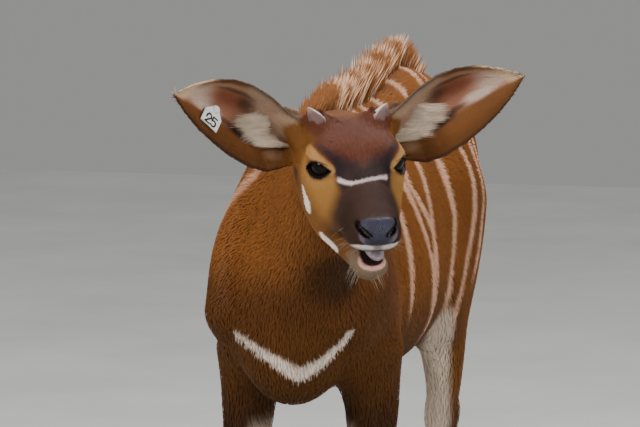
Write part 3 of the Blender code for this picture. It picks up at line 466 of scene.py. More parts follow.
def mouth_gap(q):
    """Distance to the gape between the lips, rounded at the corner of the mouth."""
    ahead = MOUTH_CORNER[0] - q[:, 1]
    rise = q[:, 2] - MOUTH_CORNER[1] + GAPE_DROOP * ahead
    upper = 1 + UPPER_GAPE * np.clip(ahead - 0.01, 0, 0.05)
    off = np.where(rise > 0, rise / upper, -rise)
    back = np.minimum(ahead - GAPE_DEPTH, 0) / GAPE_DEPTH
    return (np.sqrt(back**2 + (off / GAPE_HALF) ** 2) - 1) * GAPE_HALF


def ear_frame(side):
    """Axes of an ear as columns: towards its tip, across it upwards, and out of its cup."""
    axis, faces = (unit(v * (side, 1, 1)) for v in (EAR_AXIS, EAR_FACES))
    faces = unit(faces - axis * (axis @ faces))
    across = np.cross(faces, axis) * side
    return np.stack([axis, across, faces], 1)


EAR_OUTLINE = np.array(
    # share of the length, half width above, half width below, depth of the cup
    [
        (-0.06, 0.016, 0.018, 0.016),
        (0.06, 0.022, 0.032, 0.026),
        (0.18, 0.029, 0.045, 0.034),
        (0.32, 0.038, 0.047, 0.036),
        (0.48, 0.043, 0.043, 0.032),
        (0.62, 0.041, 0.036, 0.026),
        (0.76, 0.033, 0.027, 0.018),
        (0.89, 0.019, 0.015, 0.009),
        (1.00, 0.002, 0.002, 0.002),
    ]
)


def ear_outline(share):
    """At shares of an ear's length: half its width, how far its middle is off its axis, and its depth."""
    above, below, depth = (np.interp(share, EAR_OUTLINE[:, 0], EAR_OUTLINE[:, k]) for k in (1, 2, 3))
    return (above + below) / 2, (above - below) / 2, depth


def ear(q, side):
    """Distance to one ear, a cupped leaf."""
    e = (q - EAR_BASE * (side, 1, 1)) @ ear_frame(side)
    share = e[:, 0] / EAR_LENGTH
    half, aside, depth = ear_outline(share)
    over = (e[:, 1] - aside) / half
    inside = np.clip(over, -1, 1)
    sheet = -depth * (1 - inside**2)
    slope = np.sqrt(1 + (2 * depth * inside / half) ** 2)
    thick = EAR_THICKNESS * (1.25 - 0.45 * np.clip(share, 0, 1)) / 2
    flat = np.abs(e[:, 2] - sheet) / slope
    edge = np.maximum(np.abs(over) - 1, 0) * half
    tip = np.maximum(np.maximum(e[:, 0] - EAR_LENGTH, -0.012 - e[:, 0]), 0)
    return np.sqrt(flat**2 + edge**2 + tip**2) - thick


EAR_ROOT = both(
    tube(
        [
            (0.034, 0.016, -0.046, 0.022, 0.022, 0.0),
            (0.052, 0.024, -0.04, 0.02, 0.02, 0.0),
            (0.07, 0.036, -0.03, 0.012, 0.014, 0.0),
        ],
        side=(0, 0, 1),
    )
)
EAR_BOX = (np.array((0.03, -0.06, -0.13)), np.array((0.26, 0.11, 0.14)))


def head(p):
    """Distance to the head with its ears."""
    q = (p - HEAD_AT) @ HEAD_AXES
    value = melted(q, HEAD_SHAPES)
    value = melt(value, near(EAR_ROOT, q), 0.02)
    for side in (1, -1):
        low, high = (corner * (side, 1, 1) for corner in EAR_BOX)
        box = (lambda r, s=side: ear(r, s), np.minimum(low, high), np.maximum(low, high))
        value = melt(value, near(box, q), 0.01)
    mirrored = np.column_stack([np.abs(q[:, 0]), q[:, 1:]])
    lids = rounded(mirrored - EYE_AT, np.full(3, EYE_RADIUS + LID_THICKNESS))
    value = melt(value, lids, 0.008)
    value = carve(value, eye_opening(mirrored), 0.0015)
    value = carve(value, mouth_gap(q), 0.003)
    value = carve(value, near(MOUTH, q), 0.003)
    value = carve(value, near(NOSTRIL, q), 0.003)
    return value


def trunk(p):
    """Distance to the trunk with the neck, legs and tail."""
    shapes = [
        (0.02, TRUNK),
        (0.05, NECK),
        (0.02, SPINE_RIDGE),
        (0.03, SHOULDER),
        (0.035, UPPER_ARM),
        (0.03, BRISKET),
        (0.04, HAUNCH),
        (0.02, HIP),
        (0.03, BUTTOCK),
        (0.015, TAIL),
    ]
    for leg in LEGS.values():
        shapes += leg
    return melted(p, shapes)


def calf(p):
    """Distance to the whole soft body."""
    return melt(trunk(p), head(p), 0.025)


# Meshing

CORNERS = np.array([(i, j, k) for i in (0, 1) for j in (0, 1) for k in (0, 1)])
# Six tetrahedra that fill a cube, each a walk along its edges from corner 0 to corner 7
WALKS = [(0, a, a + b, 7) for a, b in itertools.permutations((1, 2, 4), 2)]


def packed(index):
    """One whole number for each row of three grid indices."""
    return (index[..., 0].astype(np.int64) << 42) + (index[..., 1].astype(np.int64) << 21) + index[..., 2]


def surface(field, low, high, step, levels):
    """Points and triangles where the field is zero, on a grid refined only near the surface."""
    low = np.asarray(low, float)
    counts = np.ceil((np.asarray(high, float) - low) / (step * 2**levels)).astype(int)
    cells = np.stack(np.meshgrid(*(np.arange(n) for n in counts), indexing="ij"), -1).reshape(-1, 3)
    for level in range(levels, -1, -1):
        size = step * 2**level
        value = field(low + (cells + 0.5) * size)
        cells = cells[np.abs(value) < 1.7 * size]
        if level:
            cells = (cells[:, None] * 2 + CORNERS).reshape(-1, 3)
    corners = (cells[:, None] + CORNERS).reshape(-1, 3)
    _, first, number = np.unique(packed(corners), return_index=True, return_inverse=True)
    places = low + corners[first] * step
    values = field(places)
    values[values == 0] = 1e-9
    number = number.reshape(-1, 8)
    inside = values[number] < 0
    number = number[inside.any(1) & ~inside.all(1)]
    pairs = []
    for walk in WALKS:
        tet = number[:, walk]
        order = np.argsort(values[tet] >= 0, axis=1, kind="stable")
        tet = np.take_along_axis(tet, order, 1)
        within = (values[tet] < 0).sum(1)
        for count, triangles in (
            (1, [((0, 1), (0, 2), (0, 3))]),
            (2, [((0, 2), (0, 3), (1, 3)), ((0, 2), (1, 3), (1, 2))]),
            (3, [((0, 3), (1, 3), (2, 3))]),
        ):
            some = tet[within == count]
            for triangle in triangles:
                pairs.append(np.stack([some[:, list(pair)] for pair in triangle], 1))
    pairs = np.sort(np.vstack(pairs), axis=2)
    keys = pairs[..., 0] * len(places) + pairs[..., 1]
    _, first, faces = np.unique(keys.reshape(-1), return_index=True, return_inverse=True)
    a, b = pairs.reshape(-1, 2)[first].T
    share = (values[a] / (values[a] - values[b]))[:, None]
    return places[a] + share * (places[b] - places[a]), faces.reshape(-1, 3)


# Places on the body

EAR_AXES = ear_frame(1)
WORLD_EAR_AXES = {side: HEAD_AXES @ ear_frame(side) for side in (1, -1)}
CUT_NORMAL = unit(HEAD_CUT_NORMAL)


def head_place(p):
    """Points in the head's own frame."""
    return (p - HEAD_AT) @ HEAD_AXES


def beyond_head(q):
    """How far points lie beyond the cut between head and neck."""
    return (q - HEAD_CUT_AT) @ CUT_NORMAL


def mirrored(q):
    """Points of both halves of the head brought to its left half."""
    return np.column_stack([np.abs(q[:, 0]), q[:, 1:]])


def smooth(low, high, value):
    """0 at low, 1 at high and smooth between them. low may be above high."""
    t = np.clip((value - low) / (high - low), 0, 1)
    return t * t * (3 - 2 * t)


def ear_place(q):
    """Share of the ear's length, place across it, and height over the middle of its sheet."""
    e = (mirrored(q) - EAR_BASE) @ EAR_AXES
    share = e[:, 0] / EAR_LENGTH
    half, aside, depth = ear_outline(share)
    over = (e[:, 1] - aside) / half
    out = e[:, 2] + depth * (1 - np.clip(over, -1, 1) ** 2)
    return share, over, out


def on_ear(q):
    """How far each point belongs to an ear, from 0 to 1."""
    share, over, out = ear_place(q)
    close = smooth(0.016, 0.01, np.abs(out)) * smooth(1.35, 1.2, np.abs(over))
    return close * smooth(0.02, 0.12, share) * smooth(1.12, 1.06, share) * (beyond_head(q) < 0.05)


PAD_AT = np.array((0.0008, -0.176, -0.0388))
PAD_SIZES = np.array((0.024, 0.017, 0.0146))


def eye_rim(q):
    """How far each point belongs to the bare rim of the eye's opening."""
    m = mirrored(q)
    from_eye = np.linalg.norm(m - EYE_AT, axis=1)
    gap = eye_opening(m)
    return smooth(0.0032, 0.0012, gap) * smooth(EYE_RADIUS + 0.01, EYE_RADIUS + 0.006, from_eye)


def nose_pad(q):
    return smooth(0.0015, -0.0015, rounded(q - PAD_AT, PAD_SIZES, 3.0))


def in_mouth(q):
    """How far each point belongs to the inside of the mouth or its lips."""
    gap = np.minimum(mouth_gap(q), near(MOUTH, q))
    return smooth(0.0035, 0.0008, gap) * (q[:, 1] < -0.085)


def bare(q):
    """How far each point is on bare wet skin: nose pad, lips, mouth or eye rim."""
    return np.maximum(np.maximum(nose_pad(q), in_mouth(q)), eye_rim(q))


def coat_depth(p):
    """How deep the skin lies under the coat's outer shape."""
    q = head_place(p)
    depth = LEG_DEPTH + (BODY_DEPTH - LEG_DEPTH) * smooth(0.34, 0.52, p[:, 2])
    headness = smooth(0.05, -0.03, beyond_head(q))
    close = headness > 0
    if close.any():
        face = np.full(close.sum(), HEAD_DEPTH)
        near_face = q[close]
        face += (EAR_DEPTH - HEAD_DEPTH) * on_ear(near_face)
        face *= 1 - 0.92 * bare(near_face)
        depth[close] += (face - depth[close]) * headness[close]
    return depth


def skin(p):
    """Distance to the skin under the coat."""
    return calf(p) + coat_depth(p)


def slopes(field, p, reach=0.0004):
    """Gradient of a field at points."""
    steps = np.eye(3) * reach
    return np.stack([(field(p + s) - field(p - s)) / (2 * reach) for s in steps], 1)


def skin_half(head_side):
    """Points, triangles and normals of the skin on one side of the head's cut."""
    sign = 1 if head_side else -1

    def field(p):
        value = np.full(len(p), FAR)
        beyond = sign * beyond_head(head_place(p))
        some = beyond < 0.02
        value[some] = skin(p[some])
        return value

    if head_side:
        low, high, step = HEAD_AT - (0.26, 0.22, 0.2), HEAD_AT + (0.26, 0.18, 0.22), HEAD_STEP
    else:
        low, high, step = np.array((-0.15, -0.24, 0.02)), np.array((0.19, 0.76, 0.92)), BODY_STEP
    points, faces = surface(field, low, high, step, 3)
    beyond = sign * beyond_head(head_place(points[faces].mean(1)))
    faces = faces[beyond < HEAD_OVERLAP]
    used, faces = np.unique(faces, return_inverse=True)
    points, faces = points[used], faces.reshape(-1, 3)
    for _ in range(2):
        slope = slopes(skin, points)
        length = np.maximum((slope**2).sum(1), 0.05)
        points = points - np.clip(skin(points) / length, -step, step)[:, None] * slope
    slope = slopes(skin, points)
    normals = slope / np.maximum(np.linalg.norm(slope, axis=1), 1e-6)[:, None]
    corner = points[faces]
    facing = np.cross(corner[:, 1] - corner[:, 0], corner[:, 2] - corner[:, 0])
    flip = (facing * normals[faces].mean(1)).sum(1) < 0
    faces[flip] = faces[flip][:, ::-1]
    return points, faces, normals


# Regions of the skin, for its unwrap and its tufts. There are two ears, left first, and four legs.

TRUNK_AREA, NECK_AREA, HEAD_AREA, EAR_AREA, LEG_AREA, TAIL_AREA = 0, 1, 2, 3, 5, 9
EAR_AREAS = (EAR_AREA, EAR_AREA + 1)


def region_of(p):
    """The region's number at points of the skin."""
    q = head_place(p)
    x, y, z = p.T
    area = np.full(len(p), TRUNK_AREA)
    area[(y < 0.0) & (z > 0.57)] = NECK_AREA
    legs = z < 0.46
    area[legs] = LEG_AREA + (x[legs] < 0) + 2 * (y[legs] > 0.25)
    area[(y > 0.672) & (z < 0.78)] = TAIL_AREA
    headed = beyond_head(q) < 0
    area[headed] = HEAD_AREA
    ears = headed & (on_ear(q) > 0.4)
    area[ears] = EAR_AREA + (q[ears, 0] < 0)
    return area


CHART_CELLS = 8
CHART_MARGIN = 0.006
CHART_SPANS = (0.95, 0.5, 0.4, 0.42, 0.42, 0.55, 0.55, 0.6, 0.6, 0.45)
CHART_MIDDLES = (
    (0.0, 0.3, 0.62),
    (0.04, -0.08, 0.7),
    tuple(HEAD_AT + (0.0, -0.06, -0.04)),
    tuple(HEAD_AT + (0.1, 0.02, 0.03)),
    tuple(HEAD_AT + (-0.12, 0.02, 0.03)),
    (0.08, 0.0, 0.24),
    (-0.08, 0.0, 0.24),
    (0.07, 0.5, 0.24),
    (-0.07, 0.55, 0.24),
    (0.0, 0.69, 0.6),
)


def unwrap(p, n, area):
    """Place of skin points on one flat square: a chart for each region and main facing direction."""
    axis = np.abs(n).argmax(1)
    facing = 2 * axis + (n[np.arange(len(n)), axis] < 0)
    others = np.array([(1, 2), (0, 2), (0, 1)])[axis]
    middle = np.array(CHART_MIDDLES)[area]
    span = np.array(CHART_SPANS)[area]
    rows = np.arange(len(p))
    flat = np.stack([(p - middle)[rows, others[:, k]] / span + 0.5 for k in (0, 1)], 1)
    cell = area * 6 + facing
    corner = np.stack([cell % CHART_CELLS, cell // CHART_CELLS], 1)
    return (corner + CHART_MARGIN * 8 + np.clip(flat, 0, 1) * (1 - CHART_MARGIN * 16)) / CHART_CELLS


# Markings

def srgb(*values):
    """Linear colour of an sRGB one given from 0 to 255."""
    v = np.array(values) / 255
    return np.where(v > 0.04045, ((v + 0.055) / 1.055) ** 2.4, v / 12.92)


RUST = srgb(122, 72, 26)
BACK_TAN = srgb(134, 80, 36)
SHOULDER_BROWN = srgb(84, 49, 24)
# Darker brown of the lower trunk and lower neck, mostly painted shade of the underside
LOW_BROWN_AND_SHADE = srgb(76, 44, 8)
NECK_RUST = srgb(128, 77, 32)
THROAT_DARK_AND_SHADE = srgb(20, 12, 6)
LEG_BROWN = srgb(66, 37, 9)
LEG_DARK = srgb(32, 19, 9)
STRIPE = srgb(222, 172, 142)
CHEST_WHITE = srgb(222, 206, 190)
THIGH_TAN = srgb(96, 58, 18)
INNER_WHITE = srgb(206, 186, 166)
FOREHEAD = srgb(92, 48, 30)
CHEEK = srgb(160, 114, 58)
EYE_TAN = srgb(184, 136, 80)
BAND = srgb(38, 29, 34)
CHEVRON = srgb(230, 208, 202)
MUZZLE = srgb(62, 42, 34)
MUZZLE_SIDE = srgb(50, 33, 24)
PAD = srgb(54, 52, 68)
CHIN = srgb(118, 100, 80)
LIP = srgb(214, 158, 150)
UPPER_LIP = srgb(220, 208, 200)
# Painted shade of the mouth's cavity and the nostrils
CAVITY_SHADE = srgb(40, 28, 26)
TEMPLE = srgb(112, 70, 30)
NOSE_WING = srgb(104, 92, 98)
SPOT = srgb(246, 230, 220)
RIM_BLACK = srgb(16, 13, 14)
EAR_BACK = srgb(110, 62, 28)
EAR_PINK = srgb(158, 108, 84)
EAR_DARK_AND_SHADE = srgb(34, 20, 16)
EAR_CREAM = srgb(214, 184, 148)
EAR_LOBE = srgb(120, 76, 40)
EAR_PIT = srgb(122, 70, 50)
EAR_BAND = srgb(150, 118, 92)
EAR_PATCH = srgb(206, 184, 168)
EAR_FAN = srgb(160, 134, 112)

# Courses of the stripes on each flank: places along Y at the heights of STRIPE_HEIGHTS
STRIPE_HEIGHTS = (0.52, 0.58, 0.64, 0.7, 0.8)
STRIPES = {
    1: (
        (0.15, 0.142, 0.136, 0.134, 0.116),
        (0.272, 0.242, 0.215, 0.192, 0.172),
        (0.272, 0.266, 0.258, 0.21, 0.224),
        (0.25, 0.254, 0.262, 0.282, 0.29),
        (0.364, 0.369, 0.388, 0.383, 0.38),
        (0.393, 0.433, 0.47, 0.476, 0.462),
        (0.455, 0.495, 0.522, 0.53, 0.515),
        (0.52, 0.548, 0.566, 0.568, 0.558),
    ),
    -1: (
        (0.112, 0.102, 0.092, 0.086, 0.084),
        (0.182, 0.168, 0.154, 0.146, 0.144),
        (0.25, 0.232, 0.216, 0.206, 0.2),
        (0.304, 0.292, 0.28, 0.272, 0.262),
        (0.356, 0.352, 0.346, 0.338, 0.332),
        (0.4, 0.408, 0.412, 0.408, 0.4),
        (0.44, 0.464, 0.474, 0.474, 0.464),
        (0.5, 0.522, 0.534, 0.534, 0.522),
    ),
}
STRIPE_HALF = 0.0092
CHEST_BAND = np.array(
    (
        (-0.06, -0.119, 0.544),
        (-0.031, -0.14, 0.532),
        (-0.003, -0.146, 0.518),
        (0.025, -0.132, 0.498),
        (0.053, -0.114, 0.516),
        (0.071, -0.107, 0.534),
        (0.086, -0.118, 0.553),
    )
)
HIND_PATCH = np.array(((0.094, 0.371, 0.491), (0.07, 0.425, 0.42), (0.053, 0.484, 0.339)))
NECK_STRIPE = np.array(
    ((-0.034, -0.058, 0.752), (-0.058, -0.062, 0.733), (-0.07, -0.066, 0.721), (-0.099, -0.07, 0.67))
)
CHEVRON_LINE = np.array(
    (
        (-0.0299, -0.0942, -0.0253),
        (-0.025, -0.1008, -0.0234),
        (-0.0183, -0.1074, -0.0203),
        (-0.0069, -0.109, -0.0165),
        (0.0081, -0.106, -0.0161),
        (0.0257, -0.0973, -0.0226),
    )
)
CHEEK_SPOT = np.array(((0.0578, -0.044, -0.073), (0.0568, -0.052, -0.0805), (0.0552, -0.061, -0.0865)))
JAW_SPOT = np.array(((0.042, -0.0975, -0.1085), (0.0325, -0.1165, -0.115)))
# Where the dark muzzle ends towards the cheek: height, and place along Y
MUZZLE_EDGE = np.array(
    (
        (-0.125, -0.096),
        (-0.097, -0.104),
        (-0.067, -0.117),
        (-0.048, -0.1118),
        (-0.032, -0.104),
        (-0.015, -0.104),
    )
)
EYE_STRIP = np.array(
    (
        (0.0385, -0.081, -0.02),
        (0.048, -0.069, -0.016),
        (0.054, -0.054, -0.0165),
        (0.0545, -0.036, -0.0235),
    )
)
LIP_LINE = np.array(
    (
        (-0.0262, -0.166, -0.065),
        (-0.0224, -0.1775, -0.0598),
        (-0.0141, -0.1823, -0.0564),
        (-0.005, -0.1843, -0.0555),
        (0.0047, -0.1843, -0.0554),
        (0.0139, -0.1823, -0.0571),
        (0.0222, -0.177, -0.06),
        (0.0262, -0.166, -0.064),
    )
)
POLL_AT = np.array((0.0, 0.01, -0.01))
THROAT_AT = np.array((0.088, -0.168, 0.632))
EYE_CORNER = np.array((0.036, -0.084, -0.018))
BROW_LINE = np.array(
    (
        (0.029, -0.089, -0.018),
        (0.0318, -0.078, -0.0135),
        (0.0382, -0.066, -0.008),
        (0.0468, -0.049, -0.009),
        (0.05, -0.033, -0.012),
    )
)


def from_line(p, line):
    """Distance from points to a line of points, and the share along it."""
    best = np.full(len(p), 1e9)
    along = np.zeros(len(p))
    count = len(line) - 1
    for i, (a, b) in enumerate(zip(line[:-1], line[1:])):
        t = np.clip((p - a) @ (b - a) / ((b - a) @ (b - a)), 0, 1)
        d = np.linalg.norm(p - a - t[:, None] * (b - a), axis=1)
        closer = d < best
        best[closer] = d[closer]
        along[closer] = (i + t[closer]) / count
    return best, along


def paint(colour, over, share):
    """Lay a colour over others by a share from 0 to 1."""
    return colour + (over - colour) * np.clip(share, 0, 1)[:, None]


def waves(p, scale, seed=0):
    """Soft noise between about -1 and 1 from a few crossing waves."""
    draw = np.random.default_rng(seed + 11)
    total = np.zeros(len(p))
    for k in range(7):
        way = draw.normal(size=3)
        way *= (0.6 + 0.25 * k) / np.linalg.norm(way) / scale
        total += np.sin(p @ way + draw.uniform(0, 6.3)) / 2.6
    return total


def stripe_share(p):
    """How far each point lies in a pale stripe of the flanks."""
    x, y, z = p.T
    share = np.zeros(len(p))
    for side, courses in STRIPES.items():
        here = x * side > -0.004
        for i, course in enumerate(courses):
            bottom = 0.505 + 0.03 * math.sin(2.1 * i + side)
            middle = np.interp(z, STRIPE_HEIGHTS, course) + 0.002 * np.sin(30 * z + 1.7 * i + side)
            half = STRIPE_HALF * (0.9 + 0.14 * np.sin(34 * z + 2.3 * i))
            half *= smooth(bottom - 0.05, bottom + 0.06, z)
            line = smooth(half + 0.003, half - 0.0036, np.abs(y - middle))
            share = np.maximum(share, line * smooth(bottom - 0.01, bottom + 0.03, z) * here)
    return share


def body_colour(p, n):
    """Colour of points of trunk, neck, legs and tail, with their normals."""
    x, y, z = p.T
    side = np.abs(x)
    c = np.tile(RUST, (len(p), 1))
    c = paint(c, BACK_TAN, 0.6 * smooth(0.72, 0.8, z))
    c = paint(c, SHOULDER_BROWN, 0.8 * smooth(0.1, 0.02, y) * smooth(0.45, 0.6, z))
    c = paint(c, NECK_RUST, smooth(0.0, -0.07, y) * smooth(0.58, 0.66, z))
    # painted shade: the trunk darker towards its underside
    c = paint(c, LOW_BROWN_AND_SHADE, 0.75 * smooth(0.585, 0.5, z) * smooth(0.5, 0.36, y))
    c = paint(c, THIGH_TAN, 0.6 * smooth(0.4, 0.5, y) * smooth(0.78, 0.66, z))
    # painted shade: the belly darkened where its skin faces down
    belly_shade = smooth(0.505, 0.465, z) * smooth(0.02, 0.08, y) * smooth(0.44, 0.36, y) * (n[:, 2] < 0)
    c = paint(c, LEG_DARK, 0.65 * belly_shade)
    # throat and the neck's underside: dark fur, with painted shade where the neck faces down and forward
    under = smooth(0.0, 0.75, -n[:, 1]) * smooth(0.1, -0.5, n[:, 2])
    c = paint(c, THROAT_DARK_AND_SHADE, 0.25 * under * smooth(-0.115, -0.165, y) * smooth(0.55, 0.62, z))
    c = paint(c, THROAT_DARK_AND_SHADE, 0.9 * smooth(0.06, 0.03, np.linalg.norm(p - THROAT_AT, axis=1)))
    # the lower front of the neck darker: darker fur with painted shade
    c = paint(c, LOW_BROWN_AND_SHADE, 0.6 * smooth(0.02, -0.06, y) * smooth(0.64, 0.55, z))
    # painted shade on coat that faces down
    c = paint(c, LOW_BROWN_AND_SHADE, 0.7 * smooth(-0.2, -0.8, n[:, 2]) * smooth(0.4, 0.46, z))
    # legs
    fore = smooth(0.25, 0.2, y)
    c = paint(c, LEG_BROWN, smooth(0.5, 0.42, z) * fore)
    front = smooth(0.1, 0.7, -n[:, 1])
    c = paint(c, LEG_DARK, 0.8 * front * smooth(0.47, 0.38, z) * fore)
    inner = smooth(0.2, 0.8, -n[:, 0] * np.sign(x))
    c = paint(c, INNER_WHITE, 0.75 * inner * smooth(0.29, 0.33, z) * smooth(0.43, 0.39, z) * fore)
    hind = 1 - fore
    c = paint(c, LEG_BROWN, 0.9 * smooth(0.4, 0.3, z) * hind)
    c = paint(c, LEG_DARK, 0.8 * front * smooth(0.34, 0.24, z) * hind)
    # the right hindleg stands further back than the left one
    for place, half in ((p, x > 0), (p * (-1, 1, 1) - (0, 0.035, 0), x < 0)):
        gap, _ = from_line(place, HIND_PATCH)
        c = paint(c, INNER_WHITE, 0.9 * smooth(0.034, 0.014, gap) * half)
    c = paint(c, INNER_WHITE, 0.6 * inner * smooth(0.3, 0.36, z) * smooth(0.56, 0.46, z) * hind)
    # pasterns: dark, with two pale spots over the hoof
    c = paint(c, LEG_DARK, 0.9 * smooth(0.125, 0.1, z))
    spots = smooth(0.011, 0.006, np.abs(z - 0.06)) * front * smooth(0.002, 0.005, np.abs(side - 0.068))
    c = paint(c, STRIPE, 0.8 * spots)
    # tail: rust above, dark tuft below
    tail = smooth(0.665, 0.675, y) * smooth(0.8, 0.77, z)
    c = paint(c, RUST * 0.8, tail)
    c = paint(c, LEG_DARK, tail * smooth(0.6, 0.53, z))
    c = paint(c, STRIPE, 0.9 * stripe_share(p) * (1 - tail))
    gap, along = from_line(p, CHEST_BAND)
    half = 0.004 + 0.006 * (1 - np.abs(2 * along - 1)) ** 1.5
    c = paint(c, CHEST_WHITE, smooth(half + 0.0014, half - 0.0014, gap) * smooth(0.0, -0.08, y))
    gap, along = from_line(p, NECK_STRIPE)
    c = paint(c, STRIPE, 0.55 * smooth(0.011, 0.005, gap) * smooth(0, 0.15, along) * smooth(1, 0.85, along))
    return c


def head_colour(q):
    """Colour of points in the head's frame."""
    m = mirrored(q)
    x, y, z = m.T
    c = np.tile(CHEEK, (len(q), 1))
    top = smooth(-0.035, -0.008, z)
    c = paint(c, FOREHEAD, top * smooth(-0.1, -0.08, y))
    c = paint(c, FOREHEAD, 0.7 * smooth(-0.02, 0.02, y))
    # the dark face in front of the eyes, and the muzzle
    edge = np.interp(z, MUZZLE_EDGE[:, 0], MUZZLE_EDGE[:, 1])
    c = paint(c, MUZZLE, smooth(edge + 0.015, edge - 0.013, y) * smooth(-0.135, -0.115, z))
    c = paint(c, MUZZLE_SIDE, 0.8 * smooth(-0.122, -0.14, y) * smooth(0.016, 0.028, x))
    temple = smooth(-0.045, -0.025, y) * smooth(0.04, 0.048, x) * smooth(-0.012, -0.022, z)
    c = paint(c, TEMPLE, 0.85 * temple)
    c = paint(c, TEMPLE, 0.85 * smooth(-0.05, -0.088, z))
    band_top = -0.086 + 0.6 * x
    band = smooth(band_top + 0.012, band_top - 0.01, y) * smooth(0.037, 0.03, x)
    c = paint(c, BAND, 0.94 * band * smooth(-0.114, -0.108, y) * smooth(-0.036, -0.026, z))
    gap, _ = from_line(m, np.array(((0.03, -0.09, -0.0185), EYE_CORNER)))
    c = paint(c, BAND, 0.9 * smooth(0.0055, 0.003, gap))
    # around the eyes
    e = (m - EYE_AT) @ EYE_AXES
    from_eye = np.linalg.norm(m - EYE_AT, axis=1)
    strip, _ = from_line(m, EYE_STRIP)
    c = paint(c, EYE_TAN, 0.9 * smooth(0.0078, 0.0042, strip))
    brow, along = from_line(m, BROW_LINE)
    c = paint(c, BAND, 0.8 * smooth(0.0058, 0.0022, brow) * smooth(1.0, 0.5, along))
    below = smooth(-0.004, -0.012, e[:, 1]) * smooth(0.036, 0.026, from_eye)
    c = paint(c, EYE_TAN, 0.4 * below)
    gap = eye_opening(m)
    rim = smooth(0.0024, 0.0008, gap) * smooth(EYE_RADIUS + 0.012, EYE_RADIUS + 0.007, from_eye)
    c = paint(c, RIM_BLACK, 0.95 * rim)
    # white marks
    gap, _ = from_line(q, CHEVRON_LINE)
    half = 0.0015 + 0.035 * np.maximum(x - 0.006, 0)
    c = paint(c, CHEVRON, 0.95 * smooth(half + 0.0014, half - 0.0006, gap))
    gap, along = from_line(m, CHEEK_SPOT)
    c = paint(c, SPOT, smooth(0.0132, 0.0112, gap + 0.01 * (1 - along)))
    gap, _ = from_line(m, JAW_SPOT)
    c = paint(c, SPOT, 0.95 * smooth(0.0072, 0.0056, gap))
    # chin, lips, nose
    lower = smooth(-0.094, -0.102, z)
    c = paint(c, CHIN, 0.95 * lower * smooth(-0.128, -0.142, y))
    gap, _ = from_line(q, LIP_LINE)
    strength = 0.4 + 0.6 * smooth(0.002, 0.009, x)
    c = paint(c, UPPER_LIP, strength * smooth(0.005, 0.0034, gap))
    # painted shade: the inside of the mouth dark
    inside = in_mouth(q)
    c = paint(c, CAVITY_SHADE, 0.8 * inside * smooth(-0.102, -0.096, z))
    thin = smooth(0.0016, 0.0005, np.minimum(mouth_gap(q), near(MOUTH, q)))
    edge_of_lip = smooth(-0.1, -0.103, z) * smooth(-0.1092, -0.1076, z) * smooth(-0.138, -0.152, y)
    c = paint(c, LIP, thin * edge_of_lip)
    # painted shade on the walls of the mouth's cavity and on the palate
    deep = smooth(0.0026, 0.0012, near(MOUTH, q))
    palate = smooth(0.003, 0.001, mouth_gap(q)) * smooth(-0.088, -0.082, z) * smooth(-0.172, -0.16, y)
    c = paint(c, CAVITY_SHADE, np.maximum(deep * smooth(-0.168, -0.158, y), palate))
    # painted shade: the lower middle of the nose pad darker
    pad = PAD * (1 - 0.45 * smooth(-0.04, -0.047, z) * smooth(0.013, 0.009, x))[:, None]
    pad = paint(pad, NOSE_WING, 0.7 * smooth(0.015, 0.0185, x) * smooth(-0.0385, -0.0425, z))
    c = c + (pad - c) * nose_pad(q)[:, None]
    # painted shade in the nostrils
    c = paint(c, CAVITY_SHADE * 0.4, smooth(0.0026, 0.0008, near(NOSTRIL, q)))
    # behind the jaw the throat is dark: dark fur, with painted shade under the jaw
    c = paint(c, THROAT_DARK_AND_SHADE, 0.7 * smooth(-0.105, -0.125, z) * smooth(-0.045, -0.01, y))
    return c


def ear_colour(q):
    """Colour of points on an ear."""
    share, over, out = ear_place(q)
    c = np.tile(EAR_BACK, (len(q), 1))
    inner = smooth(-0.0006, 0.0006, out)
    streak = 1 + 0.1 * np.sin(over * 75 + 9 * share) * np.sin(over * 31 - 17 * share + 1)

    def patch(at, across, long, wide, soft=0.5):
        """Share of an oval patch of the cup around a place along and across it."""
        far = np.hypot((share - at) / long, (over - across) / wide)
        return smooth(1 + soft, 1 - soft, far)

    hollow = np.tile(EAR_PINK, (len(q), 1))
    hollow = paint(hollow, EAR_LOBE, smooth(-0.1, -0.34, over))
    hollow = paint(hollow, EAR_LOBE * 0.7, smooth(-0.5, -1.0, over))
    hollow = paint(hollow, EAR_BAND, 0.8 * smooth(0.66, 0.8, over) * streak)
    hollow = paint(hollow, EAR_BACK, 0.8 * smooth(0.86, 0.93, over))
    fan = smooth(0.34, 0.2, share - 0.25 * over) * smooth(-0.3, -0.05, over)
    hollow = paint(hollow, EAR_FAN, 0.8 * fan)
    hollow = paint(hollow, EAR_PATCH, 0.7 * patch(0.8, 0.34, 0.13, 0.4) * streak)
    hollow = paint(hollow, EAR_PATCH, 0.9 * patch(0.68, -0.06, 0.12, 0.16) * streak)
    hollow = paint(hollow, EAR_PIT, patch(0.55, 0.5, 0.16, 0.24, 0.8))
    # dark patches of the hollow: painted shade in the pit and in the canal under the pale fan, and a dark
    # band inside the upper rim
    hollow = paint(hollow, EAR_DARK_AND_SHADE, 0.65 * patch(0.42, 0.56, 0.06, 0.16, 0.8))
    hollow = paint(hollow, EAR_DARK_AND_SHADE, 0.55 * patch(0.55, 0.74, 0.14, 0.05))
    hollow = paint(hollow, EAR_DARK_AND_SHADE, 0.95 * patch(0.34, -0.2, 0.13, 0.13))
    hollow = paint(hollow, EAR_DARK_AND_SHADE, 0.6 * patch(0.5, -0.12, 0.08, 0.07))
    hollow = paint(hollow, EAR_BAND, 0.7 * patch(0.08, -0.5, 0.08, 0.22))
    end = smooth(0.86, 0.93, share + 0.05 * over) * smooth(-0.5, 0.1, over)
    hollow = paint(hollow, EAR_CREAM, 0.9 * end)
    c = c + (hollow - c) * inner[:, None]
    rim = smooth(0.92, 0.99, np.abs(over))
    tip = smooth(0.7, 0.82, share) * (over > 0)
    c = paint(c, EAR_DARK_AND_SHADE, 0.6 * rim * (1 - tip))
    c = paint(c, EAR_CREAM, 0.85 * rim * tip)
    return c


